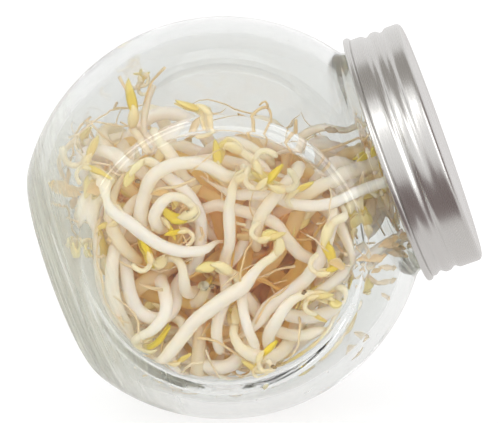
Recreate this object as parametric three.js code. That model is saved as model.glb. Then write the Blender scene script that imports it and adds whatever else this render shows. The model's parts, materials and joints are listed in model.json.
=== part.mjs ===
// A ball-shaped glass jar full of mung bean sprouts. It lies on its belly, with the screw lid to the
// right and tilted up. Millimetres, +Z up, +X towards the lid. The origin is the middle of the small
// flat under the ball that the jar rests on.
import * as THREE from "three";
import { mergeVertices } from "three/addons/utils/BufferGeometryUtils.js";

// ---- Driving dimensions ---------------------------------------------------------------------------

const TILT = THREE.MathUtils.degToRad(20.1); // the jar's axis above the table
const REST_HEIGHT = 38.7; // the ball's centre above the table, less than its radius: it rests on a flat
const BALL_RADIUS = 40;
const BALL_WALL = 3.2;
const WINDOW_AT = 29.6; // the flat front and back windows, from the ball's centre
const WINDOW_WALL = 3.0;
const WINDOW_EDGE = 2.4; // how softly a window runs into the ball
const FOOT_AT = 34.3; // the flat foot, from the ball's centre
const FOOT_WALL = 5.0;
const NECK_RADIUS = 22.5;
const NECK_BORE = 20.0;
const MOUTH_AT = 43.7; // the jar's rim, from the ball's centre
const THREAD_PITCH = 3.0;
const THREAD_HEIGHT = 0.8; // how far the glass thread stands out of the neck
const LID_RADIUS = 24.75;
const LID_RIM = 34.1; // the lower edge of the lid's skirt, from the ball's centre
const LID_SHEET = 0.65;
const LID_CURL_RADIUS = 25.3;
const LID_GROOVE_DEPTH = 0.6;
const LINER_RADIUS = 22.9;
const LINER_THICKNESS = 0.85;
const FIT_GAP = 0.3; // between pieces that touch
const LID_TOP = MOUTH_AT + LINER_THICKNESS + 2 * FIT_GAP + LID_SHEET;

const JAR_ROUND = 40; // sides of the jar
const LID_ROUND = 36; // and of the lid and the liner
const SPROUT_SIDES = 5;
const FULLNESS = 1.12; // a five-sided tube this much larger is as full as a round one
const FILL_NODES = 29; // nodes of two sprouts each, behind the ones at the front window
const NECK_NODES = 4; // how many of them start in the neck

const centreHeight = new THREE.Vector3(0, 0, REST_HEIGHT);
const lidAxis = new THREE.Vector3(Math.cos(TILT), 0, Math.sin(TILT));
const ballBore = BALL_RADIUS - BALL_WALL;
const windowBore = WINDOW_AT - WINDOW_WALL;
const footBore = FOOT_AT - FOOT_WALL;

// ---- Materials ------------------------------------------------------------------------------------

const glass = new THREE.MeshStandardMaterial({
  color: 0xdfe6e2, roughness: 0.05, metalness: 0, transparent: true, opacity: 0.25,
});
const metal = new THREE.MeshStandardMaterial({ color: 0xb9b8b4, roughness: 0.32, metalness: 1 });
const softLiner = new THREE.MeshStandardMaterial({ color: 0xe9e6de, roughness: 0.7, metalness: 0 });
const sproutWhite = new THREE.MeshStandardMaterial({ color: 0xe9dfcb, roughness: 0.4, metalness: 0 });

// ---- Small helpers --------------------------------------------------------------------------------

/** Joins a geometry's doubled points, so that seams and poles close, and drops faces of no area. */
function weld(geometry) {
  geometry.deleteAttribute("normal");
  geometry.deleteAttribute("uv");
  const welded = mergeVertices(geometry, 1e-3);
  const kept = [];
  const index = welded.index.array;
  for (let i = 0; i < index.length; i += 3) {
    const [a, b, c] = [index[i], index[i + 1], index[i + 2]];
    if (a !== b && b !== c && c !== a) {
      kept.push(a, b, c);
    }
  }
  welded.setIndex(kept);
  welded.computeVertexNormals();
  return welded;
}

/** Moves every point of a geometry by a rule that changes the vector it is given. */
function reshape(geometry, rule) {
  const place = geometry.attributes.position;
  const point = new THREE.Vector3();
  for (let i = 0; i < place.count; i += 1) {
    point.fromBufferAttribute(place, i);
    rule(point);
    place.setXYZ(i, point.x, point.y, point.z);
  }
  return geometry;
}

/** The lesser of two lengths, rounded off where they are within `soft` of each other. */
function softLesser(a, b, soft) {
  const near = Math.max(soft - Math.abs(a - b), 0) / soft;
  return Math.min(a, b) - (near * near * soft) / 4;
}

/** So many numbers, evenly spaced between two. */
function evenly(from, to, count) {
  return Array.from({ length: count }, (_, i) => THREE.MathUtils.lerp(from, to, i / (count - 1)));
}

/** A closed body of revolution about the lid's axis, from [radius, height] pairs. */
function turned(profile, sides) {
  const points = profile.map(([radius, height]) => new THREE.Vector2(radius, height));
  return new THREE.LatheGeometry(points, sides);
}

/** [radius, height] pairs along a sphere, between two heights. */
function ballProfile(radius, from, to, steps) {
  const start = Math.acos(from / radius);
  const end = Math.acos(to / radius);
  return Array.from({ length: steps + 1 }, (_, i) => {
    const angle = start + ((end - start) * i) / steps;
    return [radius * Math.sin(angle), radius * Math.cos(angle)];
  });
}

/** Random numbers from 0 to 1, alike at every run. */
function seeded(seed) {
  let state = seed;
  return () => {
    state = (Math.imul(state, 1664525) + 1013904223) >>> 0;
    return state / 2 ** 32;
  };
}

// ---- The glass jar --------------------------------------------------------------------------------
// Turned about its own axis, +Y here, with the ball's centre at the origin and the front window
// towards +Z. Afterwards the windows and the resting flat are pressed into the ball.

const GLASS_THREAD = { start: 37.4, turns: 1.1, halfWidth: 1.2 };
const LID_THREAD = { start: 36.5, turns: 2.03, halfWidth: 1.15 };

/** How far a screw thread stands up at a point: one ridge that climbs by the pitch in each turn. */
function threadAt(point, { start, turns, halfWidth }) {
  const turn = (Math.atan2(point.x, point.z) / (2 * Math.PI) + 1) % 1;
  let most = 0;
  for (let lap = 0; lap < Math.ceil(turns); lap += 1) {
    const along = turn + lap;
    const ends = Math.min(along, turns - along) * 8; // it fades over an eighth of a turn
    const off = Math.abs(point.y - (start + along * THREAD_PITCH)) / halfWidth;
    if (ends > 0 && off < 1) {
      most = Math.max(most, Math.min(ends, 1) * 0.5 * (1 + Math.cos(Math.PI * off)));
    }
  }
  return most;
}

function pressFlat(point, direction, distance) {
  const reach = point.dot(direction);
  if (reach > distance) {
    point.addScaledVector(direction, distance - reach);
  }
}

const SHOULDER_FILLET = 1.5; // how far outside the neck the ball stops
const BORE_FILLET = 0.6;
const FOOT_ROUNDING = 1.4; // how high the foot's edge rounds up into the ball
const RIM_ROUNDING = 0.7;

function makeGlassJar() {
  const shoulder = Math.sqrt(BALL_RADIUS ** 2 - (NECK_RADIUS + SHOULDER_FILLET) ** 2);
  const innerShoulder = Math.sqrt(ballBore ** 2 - (NECK_BORE + BORE_FILLET) ** 2);
  const footRadius = Math.sqrt(BALL_RADIUS ** 2 - FOOT_AT ** 2);
  const neckFoot = shoulder + 2.3;
  const outside = [
    [0, -FOOT_AT],
    [footRadius / 2, -FOOT_AT],
    [footRadius - 1.7, -FOOT_AT],
    [footRadius - 0.5, -FOOT_AT + 0.3],
    ...ballProfile(BALL_RADIUS, -FOOT_AT + FOOT_ROUNDING, shoulder, 12),
    [NECK_RADIUS + 0.35, shoulder + 1.3],
    [NECK_RADIUS, neckFoot],
    ...evenly(neckFoot + 1.5, MOUTH_AT - 1.4, 6).map((height) => [NECK_RADIUS, height]),
    [NECK_RADIUS - 0.1, MOUTH_AT - RIM_ROUNDING],
    [NECK_RADIUS - RIM_ROUNDING, MOUTH_AT],
  ];
  const inside = [
    [NECK_BORE + RIM_ROUNDING, MOUTH_AT],
    [NECK_BORE, MOUTH_AT - RIM_ROUNDING],
    [NECK_BORE, innerShoulder + 1.0],
    ...ballProfile(ballBore, innerShoulder, -footBore + FOOT_ROUNDING, 10),
    [footRadius, -footBore],
    [footRadius / 2, -footBore],
    [0, -footBore],
  ];
  const down = new THREE.Vector3(Math.cos(TILT), -Math.sin(TILT), 0);
  const geometry = turned([...outside, ...inside], JAR_ROUND);
  const rings = outside.length + inside.length;
  const place = geometry.attributes.position;
  const point = new THREE.Vector3();
  for (let i = 0; i < place.count; i += 1) {
    point.fromBufferAttribute(place, i);
    const isOutside = i % rings < outside.length;
    const flat = isOutside ? WINDOW_AT : windowBore;
    point.z = Math.sign(point.z) * softLesser(Math.abs(point.z), flat, WINDOW_EDGE);
    if (isOutside && point.y > neckFoot + 0.1) {
      const ridge = THREAD_HEIGHT * threadAt(point, GLASS_THREAD);
      point.x *= 1 + ridge / NECK_RADIUS;
      point.z *= 1 + ridge / NECK_RADIUS;
    }
    pressFlat(point, down, REST_HEIGHT);
    place.setXYZ(i, point.x, point.y, point.z);
  }
  return weld(geometry);
}

// ---- The lid and its liner ------------------------------------------------------------------------

function makeLid() {
  const inner = LID_RADIUS - LID_SHEET;
  const skirt = evenly(LID_TOP - 0.8, LID_RIM + 2.6, 8);
  const profile = [
    [0, LID_TOP],
    [LID_RADIUS - 3.5, LID_TOP],
    [LID_RADIUS - 2.3, LID_TOP + 0.15], // a low bead round the top's edge
    [LID_RADIUS - 0.85, LID_TOP - 0.05],
    ...skirt.map((height) => [height === skirt[0] ? LID_RADIUS - 0.1 : LID_RADIUS, height]),
    [LID_RADIUS, LID_RIM + 1.0],
    [LID_CURL_RADIUS, LID_RIM + 0.65],
    [LID_CURL_RADIUS + 0.05, LID_RIM + 0.3],
    [LID_RADIUS + 0.15, LID_RIM],
    [inner + 0.05, LID_RIM + 0.3],
    ...skirt.slice().reverse().map((height) => [inner, Math.min(height, LID_TOP - 1.2)]),
    [inner - 0.7, LID_TOP - LID_SHEET - 0.1],
    [0, LID_TOP - LID_SHEET],
  ];
  const geometry = turned(profile.reverse(), LID_ROUND);
  reshape(geometry, (point) => {
    const radius = Math.hypot(point.x, point.z);
    const isSkirt = radius > inner - 0.15 && point.y > LID_RIM + 1.5 && point.y < LID_TOP - 1.5;
    if (isSkirt) {
      const groove = LID_GROOVE_DEPTH * threadAt(point, LID_THREAD);
      point.x *= 1 - groove / radius;
      point.z *= 1 - groove / radius;
    }
  });
  return weld(geometry);
}

function makeLiner() {
  const top = LID_TOP - LID_SHEET - FIT_GAP;
  const bottom = MOUTH_AT + FIT_GAP;
  const profile = [[0, bottom], [LINER_RADIUS, bottom], [LINER_RADIUS, top], [0, top]];
  return weld(turned(profile, LID_ROUND));
}

// ---- One sprout -----------------------------------------------------------------------------------
// A sprout runs from the tip of its two leaves through its seed leaves and its hooked, thin neck into
// the white stem, and ends in a fine root. Each station is [distance, radius, width over depth].

const FINE_HEAD = [
  [0, 0, 1],
  [1.8, 0.72, 1.35],
  [3.8, 0.85, 1.35],
  [5.3, 0.85, 1.2],
  [6.9, 1.75, 1.2],
  [8.8, 1.65, 1.15],
  [10.7, 1.12, 1],
  [13.0, 1.08, 1],
  [15.6, 1.22, 1],
];
const PLAIN_HEAD = [
  [0, 0, 1],
  [2.8, 0.85, 1.3],
  [5.2, 0.85, 1.2],
  [7.6, 1.8, 1.15],
  [10.2, 1.15, 1],
  [12.6, 1.1, 1],
  [15.4, 1.25, 1],
];
const ROOT_STATIONS = [
  [12.0, 1.15, 1],
  [7.0, 0.6, 1],
];
const STEM_RADIUS = 1.55;
const ROOT_TIP_RADIUS = 0.42;
const ROOT_TIP_LENGTH = 1.5;
const FRONT_STEP = 4; // between two rings of a stem at the window
const FILL_STEP = 6.8; // and of one behind it

/** The stations of one sprout of this length, head first, up to its root tip. */
function sproutStations(length, { head, stemStep, stem }) {
  const [headEnd] = head[head.length - 1];
  const [rootLength] = ROOT_STATIONS[0];
  const stemLength = length - headEnd - rootLength;
  const steps = Math.max(Math.round(stemLength / stemStep), 2);
  const stations = head.map((station) => station.slice());
  for (let i = 1; i < steps; i += 1) {
    stations.push([headEnd + (stemLength * i) / steps, stem, 1]);
  }
  for (const [fromTip, radius, width] of ROOT_STATIONS) {
    stations.push([length - fromTip, radius, width]);
  }
  return stations;
}

/** A single sprout's stations, closed by a point at the root. */
function singleStations(length, build) {
  const tip = [[length - ROOT_TIP_LENGTH, ROOT_TIP_RADIUS, 1], [length, 0, 1]];
  return [...sproutStations(length, build), ...tip];
}

/** Two sprouts whose root tips have grown together, with a head at each end. */
function pairStations(length, build) {
  const near = sproutStations(length / 2, build);
  const far = near.map(([distance, radius, width]) => [length - distance, radius, width]).reverse();
  return [...near, [length / 2, ROOT_TIP_RADIUS, 1], ...far];
}

/** A line of points that the tube's rings stand on, one for each station. */
class Strand extends THREE.Curve {
  constructor(points) {
    super();
    this.points = points;
  }

  getPointAt(u, target = new THREE.Vector3()) {
    return target.copy(this.points[Math.round(u * (this.points.length - 1))]);
  }

  getTangentAt(u, target = new THREE.Vector3()) {
    const i = Math.round(u * (this.points.length - 1));
    const before = this.points[Math.max(i - 1, 0)];
    const after = this.points[Math.min(i + 1, this.points.length - 1)];
    return target.subVectors(after, before).normalize();
  }
}

/** A closed tube through the strand's points, as thick at each as its station says. */
function makeSprout(strand) {
  const rings = strand.points.length;
  const tube = new THREE.TubeGeometry(new Strand(strand.points), rings - 1, 1, SPROUT_SIDES, false);
  const place = tube.attributes.position;
  const side = tube.attributes.normal;
  const offset = new THREE.Vector3();
  const firstSide = new THREE.Vector3();
  for (let i = 0; i < place.count; i += 1) {
    const ring = Math.floor(i / (SPROUT_SIDES + 1));
    const [, radius, width] = strand.stations[ring];
    if (i % (SPROUT_SIDES + 1) === 0) {
      firstSide.fromBufferAttribute(side, i);
    }
    offset.fromBufferAttribute(side, i);
    const across = offset.dot(firstSide);
    offset.addScaledVector(firstSide, across * (1 / width - 1)); // thinner one way: flat leaves
    offset.multiplyScalar(radius).add(strand.points[ring]);
    place.setXYZ(i, offset.x, offset.y, offset.z);
  }
  return weld(tube);
}

// ---- The heap: where the sprouts lie --------------------------------------------------------------
// Places here are from the ball's centre: x towards the lid, y away from the front window, z up.

const WALL_CLEAR = 0.5; // from a sprout to the glass, which is faceted
const SPROUT_CLEAR = 0.36; // from one sprout to the next
const MOUTH_CLEAR = 0.5; // from a sprout to the plane of the jar's rim
const NECK_START = 30; // from the ball's centre, where the hollow starts to narrow

/** How deep a point lies in the jar's hollow (negative outside), and the way further in. */
function hollowDepth(point, inward) {
  const along = point.dot(lidAxis);
  const ball = ballBore - point.length();
  const window = windowBore - Math.abs(point.y);
  const foot = footBore + along;
  const corner = Math.max(WINDOW_EDGE - Math.abs(ball - window), 0) / WINDOW_EDGE;
  const rounding = (corner * corner * WINDOW_EDGE) / 4;
  let depth = Math.min(ball, window) - rounding;
  if (ball < window) {
    inward.copy(point).negate().normalize();
  } else {
    inward.set(0, -Math.sign(point.y), 0);
  }
  if (foot < depth) {
    depth = foot;
    inward.copy(lidAxis);
  }
  const fromAxis = point.clone().addScaledVector(lidAxis, -along);
  const fromBore = NECK_BORE - fromAxis.length();
  const fromMouth = MOUTH_AT - MOUTH_CLEAR - along;
  const neck = Math.min(fromBore, fromMouth);
  if (along > 0 && neck > depth) {
    depth = neck;
    if (fromMouth < fromBore) {
      inward.copy(lidAxis).negate();
    } else {
      inward.copy(fromAxis).negate().normalize();
    }
  }
  return depth;
}

/** The height of the heap's top surface, which falls a little towards the lid. */
const heapTop = (x) => 18.5 - 0.1 * x;

// The heap hangs together, so it leaves the low corner under the jar's shoulder empty.
const CORNER_WAY = new THREE.Vector3(0.85, 0, -0.53);
const CORNER_AT = 29.5;

// The sprouts pressed against the front window. Each line is given by hand as [x, z] pairs, from the
// head end to the root end; `deep` is how many sprouts lie between it and the glass, and `headed` says
// that the line starts with the head itself, not with a stretch of stem.
const LAYER = 3.5;
const FRONT_SPROUTS = [
  { name: "long_diagonal", deep: 0, headed: true, stem: 1.6, line: [
    [8, 0.5], [7, 1.5], [7.5, 3.2], [9.5, 3.4], [11, 1.5], [10, -0.5], [7.5, -2.5], [4, -4.5],
    [1, -7.5], [-2.5, -11], [-6.5, -14.5], [-10.5, -18], [-13, -21]] },
  { name: "middle_upright", deep: 0.5, headed: true, stem: 1.3, line: [
    [10, 11], [9.5, 13], [7.5, 14], [5, 15], [3.5, 15], [2, 13.5], [1.5, 10.5], [1, 6.5],
    [1, 2.5], [0.5, -1.5], [0, -5.5], [-0.5, -9.5], [-0.5, -13.5], [0, -17.5], [0.5, -20.5]] },
  { name: "left_u", deep: 1, headed: false, stem: 1.4, line: [
    [-10.5, 14.5], [-8, 11.5], [-5.5, 8], [-4, 5], [-3.5, 1], [-3.5, -3], [-4, -6.5], [-5, -9.5],
    [-7, -12.5], [-10, -14.5], [-13.5, -13.5], [-16.5, -10.5], [-18.5, -7.5], [-20.5, -3.5]] },
  { name: "left_diagonal", deep: 0, headed: true, stem: 1.35, line: [
    [-29, 9], [-28.5, 12], [-28, 14], [-27, 15.5], [-25, 13.5], [-23, 11], [-21, 8.5], [-18, 6.5],
    [-14.5, 4], [-11.5, 2], [-8, 0.5], [-5, -0.5]] },
  { name: "big_loop", deep: 0.9, headed: false, stem: 1.45, line: [
    [-15, 3.5], [-16, 6], [-15.5, 9], [-14.5, 12], [-13, 14.5], [-10.5, 16], [-7.5, 16.5],
    [-4, 16.5], [-1, 15.5], [1, 14], [2.5, 12]] },
  { name: "centre_head", deep: 0.7, headed: true, stem: 1.3, line: [
    [-16, 2.5], [-15.5, 0.5], [-14, -2], [-13, -3.5], [-11, -3], [-8.5, -3], [-7, -5], [-6, -7.5],
    [-3.5, -10.5]] },
  { name: "ring_head", deep: 0.3, headed: true, stem: 1.3, line: [
    [-12.5, 9.5], [-11, 8], [-9, 7], [-7, 6.5], [-5, 7.5], [-6, 9], [-8.5, 9.7], [-11, 9.9],
    [-13, 9], [-14.5, 7]] },
  { name: "low_hook", deep: 0.2, headed: true, stem: 1.35, line: [
    [-11, -15], [-12, -17], [-13, -19], [-15, -20.5], [-16.5, -20.5], [-17.5, -19],
    [-15.5, -17.5], [-14, -16], [-12, -14.5], [-9.5, -13]] },
  { name: "left_upright", deep: 1, headed: false, stem: 1.45, line: [
    [-17.5, 7], [-19.5, 4], [-20.5, 0.5], [-21.5, -3.5], [-21.5, -7], [-21, -10.5], [-20, -14],
    [-18.5, -17], [-17.5, -19.5]] },
  { name: "far_left", deep: 1, headed: false, stem: 1.1, line: [
    [-26, 8], [-26, 5], [-25.5, 1], [-25, -2], [-23.5, -5], [-22.5, -8], [-21.5, -11]] },
  { name: "lower_left", deep: 2, headed: false, stem: 1.3, line: [
    [-25.5, -5.5], [-25, -8.5], [-24, -12], [-22.5, -15], [-20.5, -19]] },
  { name: "green_head", deep: 1.5, headed: true, stem: 1.3, line: [
    [-24, 4], [-24, 2.5], [-24, 0.5], [-23.5, -1.5], [-22.5, -3.5], [-22, -6.5]] },
  { name: "neck_runner", deep: 1, headed: false, stem: 1.2, line: [
    [31.5, 12.5], [28, 11], [24.5, 9.5], [21.5, 8.5], [17.5, 8.5], [13.5, 9], [10, 10], [6, 10.5],
    [3.5, 11]] },
  { name: "cross_band", deep: 1.2, headed: false, stem: 1.35, line: [
    [18, -3.5], [15.5, -2], [13.5, 0], [11, 2.5], [9, 5], [6, 6], [3.5, 7], [1, 8], [-2, 7.5],
    [-4.5, 7]] },
  { name: "second_upright", deep: 2, headed: false, stem: 1.2, line: [
    [6.5, 9], [6, 6.5], [5, 3.5], [4, 0], [3, -2], [1.5, -5.5]] },
  { name: "right_hook", deep: 0.4, headed: true, stem: 1.35, line: [
    [27, -11], [25, -11], [23, -11], [20.5, -10], [18, -9], [15, -9], [12.5, -10.5],
    [10.5, -12.5], [9, -15.5], [8.5, -19], [8.5, -22.5], [9, -26]] },
  { name: "rising_band", deep: 1, headed: false, stem: 1.5, line: [
    [21.5, 5.5], [20.5, 3], [19, -1], [17.5, -4], [15, -7.5], [12.5, -10], [9.5, -12.5],
    [6, -14.5]] },
  { name: "low_runner", deep: 1.5, headed: false, stem: 1.35, line: [
    [18, -18], [15, -18.5], [11, -18], [7.5, -17], [5, -15], [3.5, -12], [2.5, -9.5]] },
  { name: "white_tail", deep: 0, headed: false, stem: 1.05, line: [
    [1.5, -9.5], [2.5, -12], [3.5, -15], [4.5, -18.5], [5.5, -22], [6, -25], [5.5, -27]] },
  { name: "bottom_curve", deep: 1, headed: false, stem: 1.5, line: [
    [4.5, -15.5], [3.5, -18.5], [2, -21.5], [-1, -23.5], [-3.5, -24.5], [-5.5, -25]] },
  { name: "bottom_left", deep: 1, headed: false, stem: 1.3, line: [
    [-6.5, -18.5], [-8.5, -20], [-9.5, -22.5], [-9, -25.5], [-7.5, -27.5]] },
  { name: "bottom_bend", deep: 1.6, headed: false, stem: 1.2, line: [
    [-5.5, -19.5], [-5.5, -22.5], [-4.5, -26], [-3.5, -28.5], [0, -29.5]] },
  { name: "low_right", deep: 1.5, headed: false, stem: 1.5, line: [
    [24.5, -12.5], [21, -13.5], [17, -14], [14, -14.5], [10.5, -15]] },
  { name: "yellow_leaf", deep: 0.5, headed: true, stem: 1.3, line: [
    [21, -4], [20.5, -1.5], [19.5, 1], [20, 3], [21, 5], [22, 7]] },
  { name: "top_head", deep: 3, headed: true, stem: 1.4, line: [
    [-1.5, 13], [-0.5, 15.5], [-0.5, 17.5], [0.5, 19], [2.5, 18], [4.5, 16.5], [7, 14.5]] },
  { name: "upper_left", deep: 2, headed: false, stem: 1.4, line: [
    [-12, 20], [-11, 18], [-9.5, 15], [-8.5, 12]] },
  { name: "tuft", deep: 7, headed: true, stem: 1.4, line: [
    [-18.5, 28], [-18.5, 26], [-18, 23.5], [-17.5, 21], [-18, 18], [-16.5, 16]] },
];
const HIDDEN_HEAD = 16; // length of the head part that a line without its head still needs
const SHORTEST_SPROUT = 44;
const SHORTEST_ROOT = 13;
const THICKEST_STEM = 1.8; // half the thickness of a stem that touches the window
const HELD_NEAR = 2.2; // a ring this near a traced point stays near its line

const STEER = 0.22; // how hard a wandering sprout turns off the glass and the heap's top
const TURN_FROM = 8; // it starts to turn this far from the glass
const DRIFT = 0.05; // how hard it turns at random
const DRIFT_KEPT = 7; // and for how many millimetres it goes on turning that way

/**
 * Walks on from a point in steps of a millimetre, wandering at random, along the walls and back into
 * the heap. `hook` also turns the walk evenly about one axis, as a sprout's neck is hooked.
 */
function wander(start, heading, length, random, hook = 0) {
  const points = [];
  const point = start.clone();
  const inward = new THREE.Vector3();
  const drift = randomDirection(random);
  const hookAxis = new THREE.Vector3().crossVectors(heading, randomDirection(random)).normalize();
  for (let walked = 1; walked < length + 1; walked += 1) {
    const depth = hollowDepth(point, inward);
    const underTop = heapTop(point.x) - point.z;
    const nearWall = THREE.MathUtils.clamp((TURN_FROM - depth) / (TURN_FROM - 1), 0, 1);
    const farFromWall = THREE.MathUtils.clamp((depth - TURN_FROM) / TURN_FROM, 0, 1);
    const nearTop = THREE.MathUtils.clamp(1 - underTop / (TURN_FROM - 2), 0, 1);
    const nearCorner = point.dot(CORNER_WAY) > CORNER_AT - TURN_FROM / 2 ? 1 : 0;
    heading.addScaledVector(inward, STEER * nearWall - DRIFT * farFromWall);
    heading.z -= STEER * nearTop;
    heading.addScaledVector(CORNER_WAY, -STEER * nearCorner);
    heading.addScaledVector(drift, DRIFT);
    if (hook > 0) {
      heading.applyAxisAngle(hookAxis, hook);
    }
    heading.normalize();
    point.add(heading);
    points.push(point.clone());
    if (walked % DRIFT_KEPT === 0) {
      drift.copy(randomDirection(random));
    }
  }
  return points;
}

function randomDirection(random) {
  const height = 2 * random() - 1;
  const turn = 2 * Math.PI * random();
  const radius = Math.sqrt(1 - height * height);
  return new THREE.Vector3(radius * Math.cos(turn), radius * Math.sin(turn), height);
}

const HOOK_TURN = 0.3; // radians a millimetre: a neck bent round about a 3 mm radius
const HOOK_LENGTH = 8;
const LEAF_LENGTH = 7; // from the hook to the tip of the leaves
const LEAF_TURN = 0.02;

/** The end of a sprout, walked away from its stem: its hooked neck, then its head and leaves. */
function wanderHead(start, heading, length, random) {
  const straight = Math.max(length - HOOK_LENGTH - LEAF_LENGTH, 0);
  const before = wander(start, heading, straight, random);
  const bendFrom = before.length > 0 ? before[before.length - 1] : start;
  const bend = wander(bendFrom, heading, HOOK_LENGTH, random, HOOK_TURN);
  const headLength = length - straight - HOOK_LENGTH;
  const head = wander(bend[bend.length - 1], heading, headLength, random, LEAF_TURN);
  return [...before, ...bend, ...head];
}

/** Puts a strand's points where its stations say along a path. */
function layStrand(name, path, makeStations, build, isHeld = () => false) {
  const curve = new THREE.CatmullRomCurve3(path, false, "centripetal");
  curve.arcLengthDivisions = path.length * 8;
  const stations = makeStations(curve.getLength(), build)
    .map(([distance, radius, width]) => [distance, radius * FULLNESS, width]);
  const length = stations[stations.length - 1][0];
  const points = stations.map(([distance]) => curve.getPointAt(Math.min(distance / length, 1)));
  return { name, stations, points, isHeld };
}

function layFrontSprouts(random) {
  return FRONT_SPROUTS.map((sprout, number) => {
    const y = -windowBore + WALL_CLEAR + THICKEST_STEM + sprout.deep * LAYER;
    const traced = sprout.line.map(([x, z]) => new THREE.Vector3(x, y, z));
    const path = traced.slice();
    if (!sprout.headed) {
      const heading = new THREE.Vector3().subVectors(traced[0], traced[1]).normalize();
      heading.y += 0.7;
      path.unshift(...wanderHead(traced[0], heading.normalize(), HIDDEN_HEAD, random).reverse());
    }
    const tracedLength = new THREE.CatmullRomCurve3(path).getLength();
    const last = traced[traced.length - 1];
    const heading = new THREE.Vector3().subVectors(last, traced[traced.length - 2]).normalize();
    heading.y += 0.8;
    const rootRun = Math.max(SHORTEST_SPROUT - tracedLength, SHORTEST_ROOT);
    path.push(...wander(last, heading.normalize(), rootRun, random));
    const isHeld = (point) => traced.some((mark) => mark.distanceTo(point) < HELD_NEAR);
    const name = `sprout_front_${String(number + 1).padStart(2, "0")}_${sprout.name}`;
    const build = { head: FINE_HEAD, stemStep: FRONT_STEP, stem: sprout.stem };
    return layStrand(name, path, singleStations, build, isHeld);
  });
}

const PAIR_LENGTH = 150;
const NECK_END = 20; // how much of a pair in the neck lies towards the lid
const BEHIND_FRONT = -14; // y: the sprouts at the window lie before it

/** A start for a hidden sprout pair: spread over the hollow near its walls, or in the neck. */
function fillStart(number, random) {
  if (number < NECK_NODES) {
    const turn = Math.PI * (0.1 + (0.8 * number) / (NECK_NODES - 1));
    const sideways = new THREE.Vector3(0, 1, 0);
    const downward = new THREE.Vector3().crossVectors(lidAxis, sideways);
    return lidAxis.clone().multiplyScalar(NECK_START + 7 + 3 * random())
      .addScaledVector(sideways, -0.7 * NECK_BORE * Math.cos(turn))
      .addScaledVector(downward, 0.56 * NECK_BORE * Math.sin(turn));
  }
  const inward = new THREE.Vector3();
  for (;;) {
    const point = new THREE.Vector3(2 * random() - 1, 2 * random() - 1, 2 * random() - 1);
    point.multiply(new THREE.Vector3(34, 25, 34));
    const underTop = heapTop(point.x) - point.z;
    const depth = Math.min(hollowDepth(point, inward), underTop);
    const isInHeap = point.dot(CORNER_WAY) < CORNER_AT - 2 && point.y > BEHIND_FRONT;
    if (depth > 2.5 && depth < 11 && isInHeap) {
      return point;
    }
  }
}

function layFillSprouts(random) {
  return Array.from({ length: FILL_NODES }, (_, number) => {
    const middle = fillStart(number, random);
    const inNeck = number < NECK_NODES;
    const heading = inNeck ? lidAxis.clone().negate() : randomDirection(random);
    const length = PAIR_LENGTH * (0.9 + 0.2 * random());
    const back = heading.clone().negate();
    const ahead = wanderHead(middle, heading, inNeck ? length - NECK_END : length / 2, random);
    const behind = wanderHead(middle, back, inNeck ? NECK_END : length / 2, random);
    const path = [...behind.reverse(), middle, ...ahead];
    const stem = STEM_RADIUS * (0.9 + 0.15 * random());
    const name = `sprout_fill_${String(number + 1).padStart(2, "0")}`;
    return layStrand(name, path, pairStations, { head: PLAIN_HEAD, stemStep: FILL_STEP, stem });
  });
}

// ---- Settling the heap ----------------------------------------------------------------------------
// Sprouts that would cross are pushed apart, little by little, while each keeps its length and its
// bends and stays inside the glass, and the ones at the window stay near their lines.

const SETTLE_ROUNDS = 420;
const LAST_ROUNDS = 60; // in which sprouts are only pushed apart and kept inside
const PAIRS_EVERY = 12; // rounds between two searches for neighbours
const HOLD = 0.16; // how strongly a line at the window is kept, in each round
const LENGTH_KEPT = 0.9; // and how strongly each sprout keeps its length
const BEND_KEPT = 0.4; // and its bends
const HEAP_PUSH = 0.3; // how strongly the heap's top and low corner are kept
const FRONT_EASE = 0.35; // how easily a sprout at the window is pushed, next to one behind it
const NEAR_ENOUGH = 2.5; // stretches within this are watched until the next search
const TINY = 1e-4;

/** The nearest points of two stretches, as shares along each. */
function nearestShares(a0, a1, b0, b1) {
  const u = a1.clone().sub(a0);
  const v = b1.clone().sub(b0);
  const w = a0.clone().sub(b0);
  const uu = u.dot(u);
  const uv = u.dot(v);
  const vv = v.dot(v);
  const uw = u.dot(w);
  const vw = v.dot(w);
  const clamp = (share) => Math.min(Math.max(share, 0), 1);
  const cross = uu * vv - uv * uv;
  let s = cross > TINY ** 2 ? clamp((uv * vw - vv * uw) / cross) : 0.5;
  const t = clamp((uv * s + vw) / vv);
  s = clamp((uv * t - uw) / uu);
  return [s, t];
}

/** Every two stretches of sprout that could touch before the next search. */
function findNeighbours(stretches) {
  const pairs = [];
  for (let i = 0; i < stretches.length; i += 1) {
    const one = stretches[i];
    for (let j = i + 1; j < stretches.length; j += 1) {
      const other = stretches[j];
      const sameSprout = one.strand === other.strand;
      if (!sameSprout || other.from - one.to > 2.2 * (one.thick + other.thick)) {
        const reach = one.halfLength + other.halfLength + one.thick + other.thick + NEAR_ENOUGH;
        if (one.middle().distanceToSquared(other.middle()) < reach * reach) {
          pairs.push([one, other]);
        }
      }
    }
  }
  return pairs;
}

function makeStretches(strands) {
  return strands.flatMap((strand) => strand.points.slice(1).map((_, i) => {
    const [a, b] = [strand.points[i], strand.points[i + 1]];
    const [[from, thickA], [to, thickB]] = [strand.stations[i], strand.stations[i + 1]];
    const middle = () => a.clone().add(b).multiplyScalar(0.5);
    return {
      strand, a, b, from, to, thickA, thickB, middle,
      thick: Math.max(thickA, thickB),
      halfLength: (to - from) / 2,
      ease: strand.ease,
    };
  }));
}

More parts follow.
